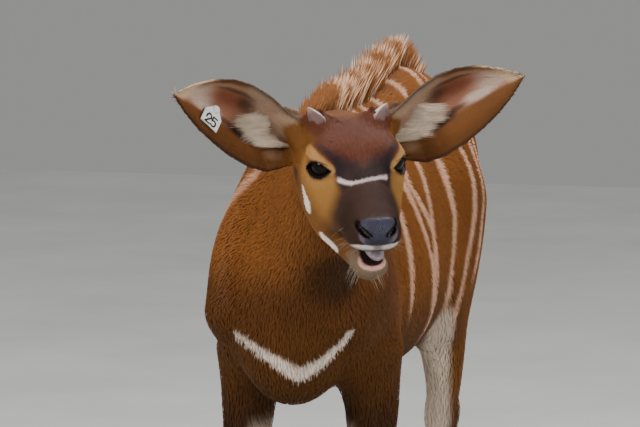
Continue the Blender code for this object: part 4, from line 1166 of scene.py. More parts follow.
def colour_of(p, n):
    """Marking of the skin and coat at points with their normals."""
    q = head_place(p)
    beyond = beyond_head(q)
    c = np.empty((len(p), 3))
    some = beyond > -0.035
    poll = smooth(0.085, 0.05, np.linalg.norm(q[some] - POLL_AT, axis=1))
    c[some] = paint(body_colour(p[some], n[some]), FOREHEAD, poll)
    share = smooth(0.02, -0.03, beyond)
    headed = share > 0
    if headed.any():
        h = head_colour(q[headed])
        h = h + (ear_colour(q[headed]) - h) * on_ear(q[headed])[:, None]
        base = np.where(some[headed, None], c[headed], h)
        c[headed] = base + (h - base) * share[headed, None]
    mottle = 1 + 0.04 * waves(p, 0.012) + 0.05 * waves(p, 0.045, 3)
    return np.clip(c * mottle[:, None], 0, 1)


# Meshes from arrays

def mesh_from(name, points, faces, colours=None, uv=None, normals=None):
    """An object from arrays of points in the calf's frame, triangles or quads, colours and unwrap."""
    mesh = bpy.data.meshes.new(name)
    faces = np.asarray(faces)
    sides = faces.shape[1]
    mesh.vertices.add(len(points))
    mesh.vertices.foreach_set("co", (np.asarray(points) + SHIFT).ravel().astype(np.float32))
    mesh.loops.add(faces.size)
    mesh.loops.foreach_set("vertex_index", faces.ravel().astype(np.int32))
    mesh.polygons.add(len(faces))
    mesh.polygons.foreach_set("loop_start", np.arange(0, faces.size, sides, dtype=np.int32))
    mesh.polygons.foreach_set("use_smooth", np.ones(len(faces), bool))
    mesh.update(calc_edges=True)
    mesh.validate()
    if colours is not None:
        layer = mesh.color_attributes.new(name="coat", type="FLOAT_COLOR", domain="POINT")
        filled = np.ones((len(points), 4), np.float32)
        filled[:, : colours.shape[1]] = colours
        layer.data.foreach_set("color", filled.ravel())
    if uv is not None:
        layer = mesh.uv_layers.new(name="OFBake")
        layer.data.foreach_set("uv", uv.ravel().astype(np.float32))
    if normals is not None:
        mesh.normals_split_custom_set_from_vertices(normals)
    obj = bpy.data.objects.new(name, mesh)
    bpy.context.scene.collection.objects.link(obj)
    return obj


# Hairs and tufts

def strands(name, lines, side, widths, flat, colours, uv, skin_normals, soften):
    """Closed tapered hairs or tufts as one mesh.

    lines holds each one's centre line, widths its half width at every ring but the tip, and flat its
    thickness as a share of its width. colours holds a colour for every ring and the tip.
    """
    count, rings = len(lines), lines.shape[1] - 1
    travel = np.gradient(lines, axis=1)
    travel /= np.linalg.norm(travel, axis=2)[..., None] + 1e-12
    across = side[:, None] - travel * (travel * side[:, None]).sum(2)[..., None]
    across /= np.linalg.norm(across, axis=2)[..., None] + 1e-12
    up = np.cross(travel, across)
    flip = np.where((up[:, 0] * skin_normals).sum(1) < 0, -1.0, 1.0)[:, None, None]
    up *= flip
    across_ring, up_ring, wide = across[:, :-1], up[:, :-1], widths[..., None]
    centre = lines[:, :-1]
    corners = [
        centre + across_ring * wide - up_ring * wide * flat * 0.5,
        centre - across_ring * wide - up_ring * wide * flat * 0.5,
        centre + up_ring * wide * flat,
    ]
    ring_points = np.stack(corners, 2).reshape(count, rings * 3, 3)
    points = np.concatenate([ring_points, lines[:, -1:]], 1)
    faces = [(0, 1, 2)]
    for ring in range(rings - 1):
        for a, b in ((0, 1), (1, 2), (2, 0)):
            low, high = 3 * ring, 3 * ring + 3
            faces += [(low + a, high + a, low + b), (low + b, high + a, high + b)]
    last = 3 * (rings - 1)
    faces += [(last + a, 3 * rings, last + b) for a, b in ((0, 1), (1, 2), (2, 0))]
    faces = np.array(faces)
    size = 3 * rings + 1
    turned = np.where(flip.reshape(-1, 1, 1) > 0, faces, faces[:, ::-1])
    all_faces = (turned + (np.arange(count) * size)[:, None, None]).reshape(-1, 3)
    ring_colours = np.repeat(colours[:, :-1], 3, axis=1)
    all_colours = np.concatenate([ring_colours, colours[:, -1:]], 1).reshape(-1, 3)
    share = np.append(np.repeat(np.arange(rings) / rings, 3), 1.0)
    around = np.append(np.tile((-1.0, 1.0, 0.0), rings), 0.0)
    patch = np.stack([around * 0.0012 * (1 - share), (share - 0.5) * 0.003], 1)
    place = (uv[:, None] + patch).reshape(-1, 2)
    outward = points - np.concatenate([np.repeat(centre, 3, axis=1), lines[:, -1:]], 1)
    outward /= np.linalg.norm(outward, axis=2)[..., None] + 1e-9
    normals = skin_normals[:, None] * soften + outward * (1 - soften)
    normals = normals.reshape(-1, 3)
    normals /= np.linalg.norm(normals, axis=1)[:, None] + 1e-9
    flat_points = points.reshape(-1, 3)
    return mesh_from(name, flat_points, all_faces, all_colours, place[all_faces.ravel()], normals)


def spread(points, faces, weights, count, draw):
    """Evenly spread places on a mesh as face numbers with corner shares, denser where weights are high."""
    corner = points[faces]
    area = np.linalg.norm(np.cross(corner[:, 1] - corner[:, 0], corner[:, 2] - corner[:, 0]), axis=1)
    middle = corner.mean(1)
    cell = np.floor((middle - middle.min(0)) / 0.008).astype(np.int64)
    key = np.zeros(len(cell), np.int64)
    for bit in range(10):
        for k in range(3):
            key |= ((cell[:, k] >> bit) & 1) << (3 * bit + k)
    order = np.argsort(key, kind="stable")
    total = np.cumsum((area * weights)[order])
    steps = (np.arange(count) + draw.uniform(0, 1, count)) / count * total[-1]
    chosen = order[np.minimum(np.searchsorted(total, steps), len(order) - 1)]
    u, v = draw.uniform(0, 1, (2, count))
    fold = u + v > 1
    u[fold], v[fold] = 1 - u[fold], 1 - v[fold]
    return chosen, np.stack([1 - u - v, u, v], 1)


def lie_of(p, n, area, draw):
    """The way the coat lies at skin points, along the skin."""
    q = head_place(p)
    x, y, z = p.T
    flank = np.stack([0 * x, 0 * x + 0.9, -0.25 - 0.9 * smooth(0.74, 0.56, z)], 1)
    leg = np.array((0.0, 0.12, -1.0))
    neck = np.array((-0.25, 0.62, -0.72))
    legs = smooth(0.56, 0.44, z)[:, None]
    necks = (smooth(0.02, -0.1, y) * smooth(0.52, 0.62, z))[:, None]
    rump = (smooth(0.56, 0.64, y))[:, None]
    way = flank * (1 - rump) + np.array((0.0, 0.25, -1.0)) * rump
    way = way * (1 - necks) + neck * necks
    way = way * (1 - legs) + leg * legs
    way[area == TAIL_AREA] = (0.0, 0.05, -1.0)
    headed = np.isin(area, (HEAD_AREA, *EAR_AREAS))
    h = q[headed]
    aside = 0.25 * np.sign(h[:, 0]) * smooth(0.01, 0.03, np.abs(h[:, 0]))
    back = np.stack([aside, np.ones(len(h)), 0.1 - 0.6 * smooth(-0.05, -0.09, h[:, 2])], 1)
    swirl = h - WHORL
    near_whorl = smooth(0.03, 0.008, np.linalg.norm(swirl, axis=1))[:, None]
    round_whorl = np.cross(np.array((0, 0, 1.0)), swirl) * 30 + swirl * 25
    back = back * (1 - near_whorl) + round_whorl * near_whorl
    way[headed] = back @ HEAD_AXES.T
    for side, number in zip((1, -1), EAR_AREAS):
        some = area == number
        over = ear_place(q[some])[1]
        axes = WORLD_EAR_AXES[side]
        fan = np.where(over > 0, 0.35, 0.45) * over
        way[some] = axes[:, 0] + fan[:, None] * axes[:, 1]
    way += draw.normal(0, 0.09, way.shape)
    way -= n * (way * n).sum(1)[:, None]
    return way / (np.linalg.norm(way, axis=1)[:, None] + 1e-9)


WHORL = np.array((-0.0079, 0.0063, -0.0061))

# Tufts of each area: how many, length and half width, and how far they rise. Ears count on both sides.
TUFTS = {
    "trunk": (53000, 0.0125, 0.0006, 0.07),
    "neck": (16000, 0.012, 0.00057, 0.08),
    "head": (22500, 0.0056, 0.00043, 0.22),
    "ear": (9500, 0.0065, 0.00043, 0.2),
    "leg": (18500, 0.009, 0.00076, 0.18),
    "tail": (2600, 0.011, 0.00084, 0.25),
}
PIECE_TUFTS = 19000


def tuft_piece(name, p, n, lie, length, half, area, rise, draw):
    """Tufts that lie along the skin from roots p, each as long and wide as its number says."""
    count = len(p)
    depth = np.maximum(coat_depth(p), 0.0002)
    tilt = rise * draw.uniform(0.6, 1.5, count)
    root = p - n * (0.25 * depth)[:, None]
    middle = p + lie * (0.5 * length)[:, None] + n * (np.sin(tilt) * 0.5 * length)[:, None]
    tip = p + lie * (0.97 * length)[:, None] + n * (np.sin(tilt) * 0.6 * length)[:, None]
    height = skin(middle)
    wanted = depth * draw.uniform(0.84, 0.98, count)
    middle += n * np.clip(wanted - height, -0.006, 0.006)[:, None]
    height = skin(tip)
    wanted = depth * draw.uniform(0.68, 0.95, count)
    tip += n * np.clip(wanted - height, -0.008, 0.008)[:, None]
    side = np.cross(lie, n)
    side += n * draw.normal(0, 0.1, count)[:, None]
    lines = np.stack([root, middle, tip], 1)
    widths = half[:, None] * np.array((0.75, 1.0)) * draw.uniform(0.75, 1.25, count)[:, None]
    on_thin = np.where(np.isin(area, EAR_AREAS), 0.3, 1.0)
    reach = on_thin * length * draw.uniform(0.85, 1.1, count)
    low, high = (colour_of(p + lie * (reach * at)[:, None], n) for at in (0.15, 0.8))
    tint = (1 + draw.normal(0, 0.042, count)[:, None]) * (1 + draw.normal(0, 0.02, (count, 3)))
    low, high = low * tint, high * tint
    # painted shade: each tuft darker at its root and a little lighter at its tip
    colours = np.clip(np.stack([low * 0.93, (low + high) / 2, high * 1.03], 1), 0, 1)
    return strands(name, lines, side, widths, 0.35, colours, unwrap(p, n, area), n, 0.96)


def coat(points, faces, normals, draw):
    """All tufts of the coat, in pieces."""
    middle = points[faces].mean(1)
    face_area = region_of(middle)
    face_head = head_place(middle)
    cover = 1 - smooth(0.3, 0.8, bare(face_head) * (beyond_head(face_head) < 0))
    kinds = {
        "trunk": [0],
        "neck": [1],
        "head": [2],
        "ear": [3, 4],
        "leg": [5, 6, 7, 8],
        "tail": [9],
    }
    made = []
    for kind, areas in kinds.items():
        count, length, half, rise = TUFTS[kind]
        weights = np.isin(face_area, areas) * cover
        if kind == "head":
            weights = weights * (1 + 1.2 * smooth(-0.03, -0.1, face_head[:, 1]))
        if kind == "leg":
            weights = weights * (1 + 1.0 * smooth(0.36, 0.25, middle[:, 2]))
        chosen, shares = spread(points, faces, weights, count, draw)
        p = (points[faces[chosen]] * shares[..., None]).sum(1)
        n = (normals[faces[chosen]] * shares[..., None]).sum(1)
        n /= np.linalg.norm(n, axis=1)[:, None] + 1e-9
        area = face_area[chosen]
        q = head_place(p)
        lie = lie_of(p, n, area, draw)
        long = length * draw.uniform(0.75, 1.2, count)
        wide = np.full(count, half)
        if kind == "head":
            fine = 1 - 0.45 * smooth(-0.07, -0.14, q[:, 1])
            neckward = 1 + 0.9 * smooth(-0.04, 0.01, beyond_head(q))
            long *= fine * neckward
            wide *= fine * neckward
            long *= 0.55 + 0.45 * smooth(0.004, 0.016, eye_opening(mirrored(q)))
        if kind == "leg":
            high = 1 + 0.5 * smooth(0.3, 0.44, p[:, 2])
            long *= high
            wide *= high
        if kind == "ear":
            rim = smooth(0.85, 1.0, np.abs(ear_place(q)[1]))
            long *= 1 - 0.45 * rim
        if kind == "trunk":
            long *= 1 + 0.15 * waves(p, 0.05, 5)
        order = np.argsort(area, kind="stable")
        for start in range(0, count, PIECE_TUFTS):
            some = order[start : start + PIECE_TUFTS]
            name = f"coat_{kind}_{start // PIECE_TUFTS + 1}"
            rows = (values[some] for values in (p, n, lie, long, wide, area))
            made.append(tuft_piece(name, *rows, rise, draw))
    return made


# Crest, tail tuft and single hairs

def hair_widths(half, shares, low, high, count, draw):
    """Half width of every hair at its rings."""
    return (half * WIDER) * np.array(shares) * draw.uniform(low, high, (count, 1))


def root_shaded(base, shades):
    """Colours of every hair at its rings and tip, from its own colour scaled from root to tip: darker at
    the root as painted shade.
    """
    return np.clip(np.stack([base * shade for shade in shades], 1), 0, 1)


def settled(p):
    """Points moved onto the skin."""
    for _ in range(3):
        slope = slopes(skin, p)
        p = p - slope * (skin(p) / np.maximum((slope**2).sum(1), 0.05))[:, None]
    return p


CREST = np.array(
    # y of the root, length
    [
        (-0.014, 0.016),
        (0.02, 0.028),
        (0.08, 0.04),
        (0.15, 0.05),
        (0.25, 0.058),
        (0.35, 0.058),
        (0.43, 0.05),
        (0.53, 0.033),
        (0.59, 0.014),
    ]
)
CREST_CLUMPS = 58
CREST_HAIRS = 122
CREST_BROWN = srgb(124, 76, 36)
CREST_WHITE = srgb(214, 172, 138)


def back_height(y):
    """Height of the back's middle line at places along Y."""
    low, high = np.full(len(y), 0.6), np.full(len(y), 0.95)
    for _ in range(14):
        middle = (low + high) / 2
        inside = trunk(np.stack([np.zeros(len(y)), y, middle], 1)) < 0
        low, high = np.where(inside, middle, low), np.where(inside, high, middle)
    return low


def crest(draw):
    """The standing crest of the back: clumps of long hairs, pale where a stripe meets it."""
    clump_y = np.linspace(CREST[0, 0], CREST[-1, 0], CREST_CLUMPS)
    clump_y += draw.normal(0, 0.0022, CREST_CLUMPS)
    hairs = CREST_HAIRS // FEWER
    y = np.repeat(clump_y, hairs) + draw.normal(0, 0.0055, CREST_CLUMPS * hairs)
    count = len(y)
    lean = np.repeat(draw.normal(0, 0.1, CREST_CLUMPS), hairs) + draw.normal(0, 0.07, count)
    back = np.repeat(draw.uniform(0.2, 0.4, CREST_CLUMPS), hairs) + draw.normal(0, 0.05, count)
    length = np.interp(y, CREST[:, 0], CREST[:, 1])
    length *= np.repeat(draw.uniform(0.86, 1.08, CREST_CLUMPS), hairs) * draw.uniform(0.6, 1.04, count)
    x = draw.normal(0, 0.0042, count)
    root = np.stack([x, y, back_height(y) - 0.006 - 18 * x**2], 1)
    rise = np.stack([lean + 18 * x, back, np.ones(count)], 1)
    rise /= np.linalg.norm(rise, axis=1)[:, None]
    gather = np.stack([np.zeros(count), np.repeat(clump_y, hairs) - y, np.zeros(count)], 1) * 0.55
    lines = []
    for share in (0.0, 0.35, 0.7, 1.0):
        bend = np.array((0.0, 0.42, -0.06)) * share**2
        reach = length + 0.006
        lines.append(root + (rise * share + bend) * reach[:, None] + gather * share)
    lines = np.stack(lines, 1)
    widths = hair_widths(0.00062, (0.8, 1.0, 0.75), 0.7, 1.3, count, draw)
    pale = smooth(0.013, 0.009, stripe_gap(np.repeat(clump_y, hairs)))
    base = paint(np.tile(CREST_BROWN, (count, 1)), CREST_WHITE, pale)
    base = base * (1 + draw.normal(0, 0.12, count)[:, None])
    colours = root_shaded(base, (0.5, 0.9, 1.1, 1.3))
    side = np.tile((1.0, 0.0, 0.0), (count, 1)) + draw.normal(0, 0.5, (count, 3)) * (0, 1, 0)
    side /= np.linalg.norm(side, axis=1)[:, None]
    up = np.tile((0.0, 0.0, 1.0), (count, 1))
    uv = unwrap(root, up, np.zeros(count, int))
    outward = np.stack([np.sign(x) * 0.8, np.full(count, -0.1), np.full(count, 0.6)], 1)
    outward /= np.linalg.norm(outward, axis=1)[:, None]
    return strands("crest", lines, side, widths, 0.5, colours, uv, outward, 0.35)


def stripe_gap(y):
    """Distance along the back's middle line from the nearest stripe of the left flank."""
    return np.min([np.abs(y - course[-1]) for course in STRIPES[1]], axis=0)


TAIL_HAIRS = 2700


def tail_tuft(draw):
    """Long dark hairs around the tail's end."""
    count = TAIL_HAIRS // FEWER
    z = draw.uniform(0.425, 0.56, count)
    turn = draw.uniform(0, 2 * math.pi, count)
    out = np.stack([np.cos(turn), np.sin(turn), 0 * turn], 1)
    centre = np.stack([0 * z, np.interp(z, (0.44, 0.5, 0.56), (0.686, 0.69, 0.693)), z], 1)
    radius = np.interp(z, (0.42, 0.44, 0.5, 0.56), (0.001, 0.003, 0.0085, 0.007))
    root = centre + out * radius[:, None]
    length = np.minimum(0.075 * draw.uniform(0.7, 1.05, count), z - 0.412)
    sway = draw.normal(0, 0.05, (count, 3)) * (1, 1, 0)
    lines = []
    for share in (0.0, 0.35, 0.7, 1.0):
        drop = np.array((0, 0, -1.0)) * share
        away = out * (0.14 * share - 0.06 * share**2)
        lines.append(root + (drop + away + sway * share**2) * length[:, None])
    lines = np.stack(lines, 1)
    widths = hair_widths(0.0006, (0.8, 1.0, 0.75), 0.7, 1.3, count, draw)
    base = paint(np.tile(srgb(52, 34, 22), (count, 1)), RUST * 0.7, smooth(0.5, 0.56, z))
    base = base * (1 + draw.normal(0, 0.15, count)[:, None])
    colours = root_shaded(base, (0.6, 0.9, 1.1, 1.3))
    side = np.cross(out, (0, 0, 1.0))
    uv = unwrap(root, out, np.full(count, TAIL_AREA))
    return strands("tail_tuft", lines, side, widths, 0.5, colours, uv, out, 0.5)


def to_world(q):
    return HEAD_AT + q @ HEAD_AXES.T


def ear_sheet(share, over, side):
    """Point on the cup side of an ear, its outward normal and the ear's axes."""
    half, aside, depth = ear_outline(share)
    thick = EAR_THICKNESS * (1.25 - 0.45 * share) / 2
    e = np.stack([share * EAR_LENGTH, over * half + aside, -depth * (1 - over**2)], 1)
    slope = 2 * depth * over / half
    normal = np.stack([0 * share, -slope, 1 + 0 * slope], 1)
    normal /= np.linalg.norm(normal, axis=1)[:, None]
    e = e + normal * (thick - EAR_DEPTH)[:, None]
    axes = ear_frame(side)
    q = EAR_BASE * (side, 1, 1) + e @ axes.T
    return to_world(q), normal @ axes.T @ HEAD_AXES.T, HEAD_AXES @ axes


EAR_LOCKS = 40
LOCK_HAIRS = 56
FRINGE_HAIRS = 900


def ear_hair(side, draw):
    """Pale locks that fan out over the ear's hollow from its wall, and a short fringe along its rims."""
    hairs, fringe = LOCK_HAIRS // FEWER, FRINGE_HAIRS // FEWER
    lock_share = draw.uniform(0.01, 0.3, EAR_LOCKS)
    lock_over = -0.16 + 2.6 * lock_share + draw.normal(0, 0.09, EAR_LOCKS)
    share = np.repeat(lock_share, hairs) + draw.normal(0, 0.01, EAR_LOCKS * hairs)
    over = np.repeat(lock_over, hairs) + draw.normal(0, 0.045, EAR_LOCKS * hairs)
    fan = np.arange(len(share) + fringe) < len(share)
    upper = draw.uniform(0, 1, fringe) < 0.6
    share = np.append(share, draw.uniform(0.08, 0.96, fringe))
    over = np.append(over, np.where(upper, 0.955, -0.965))
    count = len(share)
    root, normal, axes = ear_sheet(share, over, side)
    lean = np.repeat(-0.3 - 0.3 * lock_over + draw.normal(0, 0.1, EAR_LOCKS), hairs)
    aside = np.append(lean, np.where(upper, 0.15, -0.15)) + draw.normal(0, 0.07, count)
    way = axes[:, 0] + aside[:, None] * axes[:, 1]
    way /= np.linalg.norm(way, axis=1)[:, None]
    length = np.repeat(draw.uniform(0.026, 0.042, EAR_LOCKS), hairs)
    length = np.append(length, draw.uniform(0.0014, 0.003, fringe))
    length *= draw.uniform(0.75, 1.05, count)
    lift = np.where(fan, 0.3, 0.15)
    lines = []
    for at in (0.0, 0.4, 1.0):
        rise = normal * (lift * at * (1.2 - 0.7 * at))[:, None]
        lines.append(root - normal * 0.0006 + (way * at + rise) * length[:, None])
    lines = np.stack(lines, 1)
    widths = hair_widths(0.00019, (1.0, 0.9), 0.8, 1.4, count, draw)
    shades = np.append(np.repeat(draw.uniform(0.62, 1.12, EAR_LOCKS), hairs), np.ones(fringe))
    base = np.tile(srgb(236, 214, 190), (count, 1)) * shades[:, None]
    edge = np.where(upper[:, None] & (share[fan.sum() :, None] > 0.7), EAR_CREAM, EAR_BACK * 1.1)
    base[~fan] = edge
    base = base * (1 + draw.normal(0, 0.1, count)[:, None])
    colours = root_shaded(base, (0.7, 1.0, 1.1))
    across = np.cross(way, normal)
    uv = unwrap(root, normal, np.full(count, EAR_AREA + (side < 0)))
    name = "ear_hair_left" if side > 0 else "ear_hair_right"
    return strands(name, lines, across, widths, 0.6, colours, uv, normal, 0.4)


BUD_HAIRS = 950


def bud_hair(side, draw):
    """Short hairs that rise round the base of a horn bud and lie against it."""
    count = BUD_HAIRS // FEWER
    axes = axes_along(HORN_POINTS * (side, 1, 1))
    turn = draw.uniform(0, 2 * math.pi, count)
    around = np.stack([np.cos(turn), np.sin(turn), 0 * turn], 1)
    reach = BUD_RADIUS + draw.uniform(0.0002, 0.003, count)
    e = around * reach[:, None] + np.stack([0 * turn, 0 * turn, np.full(count, 0.002)], 1)
    p = settled(to_world(HORN_AT * (side, 1, 1) + e @ axes.T))
    normal = slopes(skin, p)
    normal /= np.linalg.norm(normal, axis=1)[:, None] + 1e-9
    out = around @ axes.T @ HEAD_AXES.T
    up = (axes[:, 2] @ HEAD_AXES.T)[None] + draw.normal(0, 0.12, (count, 3))
    length = draw.uniform(0.0026, 0.0046, count)
    lines = []
    for at in (-0.1, 0.4, 0.75, 1.0):
        lines.append(p + (up * at + out * (0.35 * at - 0.55 * at**2)) * length[:, None])
    lines = np.stack(lines, 1)
    widths = hair_widths(0.00026, (1.0, 1.0, 0.7), 0.8, 1.3, count, draw)
    base = colour_of(p, normal) * (1 + draw.normal(0, 0.12, count)[:, None])
    colours = root_shaded(base, (0.8, 1.0, 1.1, 1.2))
    across = np.cross(up, out)
    across /= np.linalg.norm(across, axis=1)[:, None] + 1e-9
    uv = unwrap(p, normal, np.full(count, HEAD_AREA))
    name = "bud_hair_left" if side > 0 else "bud_hair_right"
    return strands(name, lines, across, widths, 0.5, colours, uv, normal, 0.6)


# Where whiskers grow on lips and chin: least and most along each of the head's axes
LIP_WHISKERS = ((0.018, 0.027), (-0.178, -0.145), (-0.078, -0.052))
CHIN_WHISKERS = ((0.004, 0.021), (-0.165, -0.135), (-0.128, -0.112))
WHISKER_HALF = 0.00012
LASH_HALF = 0.00022


def placed(side, spans, draw):
    """A place drawn between the spans, on one side of the head."""
    return np.array([draw.uniform(*span) for span in spans]) * (side, 1, 1)


def whiskers(draw):
    """Single stiff hairs of the lips and chin, and the eyelashes."""
    places, ways, lengths, halves = [], [], [], []
    for side in (1, -1):
        for _ in range(12):
            places.append(placed(side, LIP_WHISKERS, draw))
            ways.append(np.array((side * 0.9, draw.uniform(-0.5, 0.3), draw.uniform(-0.5, 0.1))))
            lengths.append(draw.uniform(0.01, 0.026))
            halves.append(WHISKER_HALF)
        for _ in range(18):
            places.append(placed(side, CHIN_WHISKERS, draw))
            ways.append(np.array((side * 0.5, draw.uniform(-0.6, 0.0), -0.9)))
            lengths.append(draw.uniform(0.008, 0.022))
            halves.append(WHISKER_HALF)
        for i in range(46):
            along = LID_HALF_LENGTH * (-0.8 + 1.55 * (i % 23) / 22 + draw.normal(0, 0.02))
            arch = 1 - (along / LID_HALF_LENGTH) ** 2
            upper = i < 30
            rise = LID_UP * arch if upper else -LID_DOWN * arch
            reach = EYE_RADIUS + 0.0016
            e = np.array((along, rise, math.sqrt(max(reach**2 - along**2 - rise**2, 1e-6))))
            out = unit(np.array((along * 12, 0.55 if upper else -0.6, 1.0)))
            places.append((EYE_AT + EYE_AXES @ e) * (side, 1, 1))
            ways.append((EYE_AXES @ out) * (side, 1, 1))
            lengths.append(draw.uniform(0.006, 0.0095) if upper else draw.uniform(0.003, 0.005))
            halves.append(LASH_HALF)
    q, way = np.array(places), np.array(ways)
    way /= np.linalg.norm(way, axis=1)[:, None]
    p, way = to_world(q), way @ HEAD_AXES.T
    count = len(p)
    normal = way.copy()
    lashes = np.array(halves) > WHISKER_HALF
    body = ~lashes
    p[body] = settled(p[body])
    length = np.array(lengths)
    droop = np.array((0.0, 0.0, -0.25)) * body[:, None] + np.array((0.0, 0.0, 0.35)) * lashes[:, None]
    steps = (-0.05, 0.35, 0.7, 1.0)
    lines = np.stack([p + (way * at + droop * at**2) * length[:, None] for at in steps], 1)
    widths = np.array(halves)[:, None] * np.array((1.0, 0.85, 0.6))
    base = np.where(lashes[:, None], srgb(22, 16, 14), srgb(196, 180, 162))
    colours = np.repeat(base[:, None], 4, 1)
    side = np.cross(way, (0.3, 0.2, 0.9))
    side /= np.linalg.norm(side, axis=1)[:, None]
    uv = unwrap(p, normal, np.full(count, HEAD_AREA))
    return strands("whiskers", lines, side, widths, 0.9, colours, uv, normal, 0.1)


# Eyes, horns, hooves, tongue and tag

CORONET_HEIGHT = 0.031
CORONET_SLOPE = 0.25
CLAW_WIDTH = 0.0205
CLAW_TOP_LENGTH = 0.04
CLAW_SOLE_LENGTH = 0.045
CLAW_LEAN = 0.01
DEWCLAW_LENGTH = 0.014
DEWCLAW_RADIUS = 0.0055
GAP = 0.0003

TAG_PIN_AT = (0.114, 0.002, -0.018)
TAG_TURN = 20.0
TAG_TILT = 25.0
TAG_HEIGHT = 0.018
TAG_DROP = 0.007
TAG_THICKNESS = 0.002
TAG_NUMBER = "25"
DIGIT_HEIGHT = 0.0125
DIGIT_WIDTH = 0.0068
DIGIT_STROKE = 0.0011
DIGIT_STEP = 0.009


def axes_along(direction, side=(1, 0, 0)):
    """Axes as columns, the third along direction and the first close to side."""
    out = unit(direction)
    across = unit(np.asarray(side, float) - out * (out @ np.asarray(side, float)))
    return np.stack([across, np.cross(out, across), out], 1)


def grid_faces(rows, columns, closed=True):
    """Quads between rows of points, joined round where closed."""
    faces = []
    span = columns if closed else columns - 1
    for row in range(rows - 1):
        for i in range(span):
            a, b = row * columns + i, row * columns + (i + 1) % columns
            faces.append((a, b, b + columns, a + columns))
    return np.array(faces)


def shell(name, rings, colours=None):
    """A closed smooth body through rings of points, with a fan at each end."""
    count = len(rings[0])
    points = np.vstack([*rings, rings[0].mean(0)[None], rings[-1].mean(0)[None]])
    quads = grid_faces(len(rings), count)
    first, last = len(points) - 2, len(points) - 1
    top = (len(rings) - 1) * count
    triangles = [(q[0], q[1], q[2]) for q in quads] + [(q[0], q[2], q[3]) for q in quads]
    for i in range(count):
        j = (i + 1) % count
        triangles += [(first, j, i), (last, top + i, top + j)]
    triangles = np.array(triangles)
    corner = points[triangles]
    volume = (np.cross(corner[:, 0], corner[:, 1]) * corner[:, 2]).sum()
    if volume < 0:
        triangles = triangles[:, ::-1]
    if colours is not None:
        colours = np.vstack([colours, colours[0][None], colours[-1][None]])
    return mesh_from(name, points, triangles, colours)


def sphere_rings(segments, rows, ease):
    """Rings of points on a unit sphere from near one pole to near the other, with their angles."""
    turn = np.arange(segments) * 2 * math.pi / segments
    for polar in np.linspace(ease, math.pi - ease, rows):
        x, y = np.sin(polar) * np.cos(turn), np.sin(polar) * np.sin(turn)
        yield polar, np.stack([x, y, np.full(segments, np.cos(polar))], 1)


IRIS_RADIUS = 0.0115
PUPIL_HALF_LENGTH = 0.0062
PUPIL_HALF_HEIGHT = 0.0042
CORNEA_BULGE = 0.0006


def eyeball(side):
    """A dark eye with a wide level pupil, a brown iris and a slightly domed front."""
    segments, rows = ((72, 44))
    rings, colours = [], []
    for polar, e in sphere_rings(segments, rows, 0.02):
        bulge = CORNEA_BULGE * smooth(0.95, 0.2, polar)
        e = e * (EYE_RADIUS + bulge)
        rings.append(to_world((EYE_AT + e @ EYE_AXES.T) * (side, 1, 1)))
        flat = np.hypot(e[:, 0], e[:, 1])
        front = e[:, 2] > 0
        from_pupil = np.hypot(e[:, 0] / PUPIL_HALF_LENGTH, e[:, 1] / PUPIL_HALF_HEIGHT)
        pupil = smooth(1.12, 0.92, from_pupil) * front
        iris = smooth(IRIS_RADIUS + 0.0008, IRIS_RADIUS - 0.0006, flat) * front
        c = np.tile(srgb(12, 9, 9), (segments, 1))
        spokes = 0.85 + 0.25 * np.sin(np.arctan2(e[:, 1], e[:, 0]) * 37)
        c = paint(c, srgb(26, 15, 11), iris * spokes)
        c = paint(c, srgb(4, 4, 6), pupil)
        colours.append(c)
    return shell("eyeball_left" if side > 0 else "eyeball_right", rings, np.vstack(colours))


RIM_THICKNESS = 0.0008
RIM_LIFT = 0.001


def lid_rim(side):
    """The moist dark edge of the lids around the eye's opening."""
    count, round_count = 96, 10
    turn = np.arange(count) * 2 * math.pi / count
    along = LID_HALF_LENGTH * np.cos(turn) * 0.985
    arch = np.sin(turn) ** 2
    rise = np.where(np.sin(turn) > 0, LID_UP * arch, -LID_DOWN * arch)
    reach = EYE_RADIUS + RIM_LIFT
    out = np.sqrt(np.maximum(reach**2 - along**2 - rise**2, 0.0055**2))
    path = np.stack([along, rise, out], 1)
    path *= (reach / np.linalg.norm(path, axis=1))[:, None]
    travel = np.roll(path, -1, 0) - np.roll(path, 1, 0)
    travel /= np.linalg.norm(travel, axis=1)[:, None]
    outward = path / np.linalg.norm(path, axis=1)[:, None]
    outward -= travel * (outward * travel).sum(1)[:, None]
    outward /= np.linalg.norm(outward, axis=1)[:, None]
    across = np.cross(travel, outward)
    points = []
    for k in range(round_count):
        a = 2 * math.pi * k / round_count
        points.append(path + RIM_THICKNESS * (math.cos(a) * outward * 0.8 + math.sin(a) * across * 1.15))
    points = np.stack(points, 1).reshape(-1, 3)
    quads = []
    for i in range(count):
        for k in range(round_count):
            a, b = i * round_count, ((i + 1) % count) * round_count
            quads.append((a + k, b + k, b + (k + 1) % round_count, a + (k + 1) % round_count))
    quads = np.array(quads)
    if side < 0:
        quads = quads[:, ::-1]
    world = to_world((EYE_AT + points @ EYE_AXES.T) * (side, 1, 1))
    return mesh_from("lid_rim_left" if side > 0 else "lid_rim_right", world, quads)


BUD_RADIUS = 0.0096
EDGE_TURN = {1: math.radians(200), -1: math.radians(-20)}


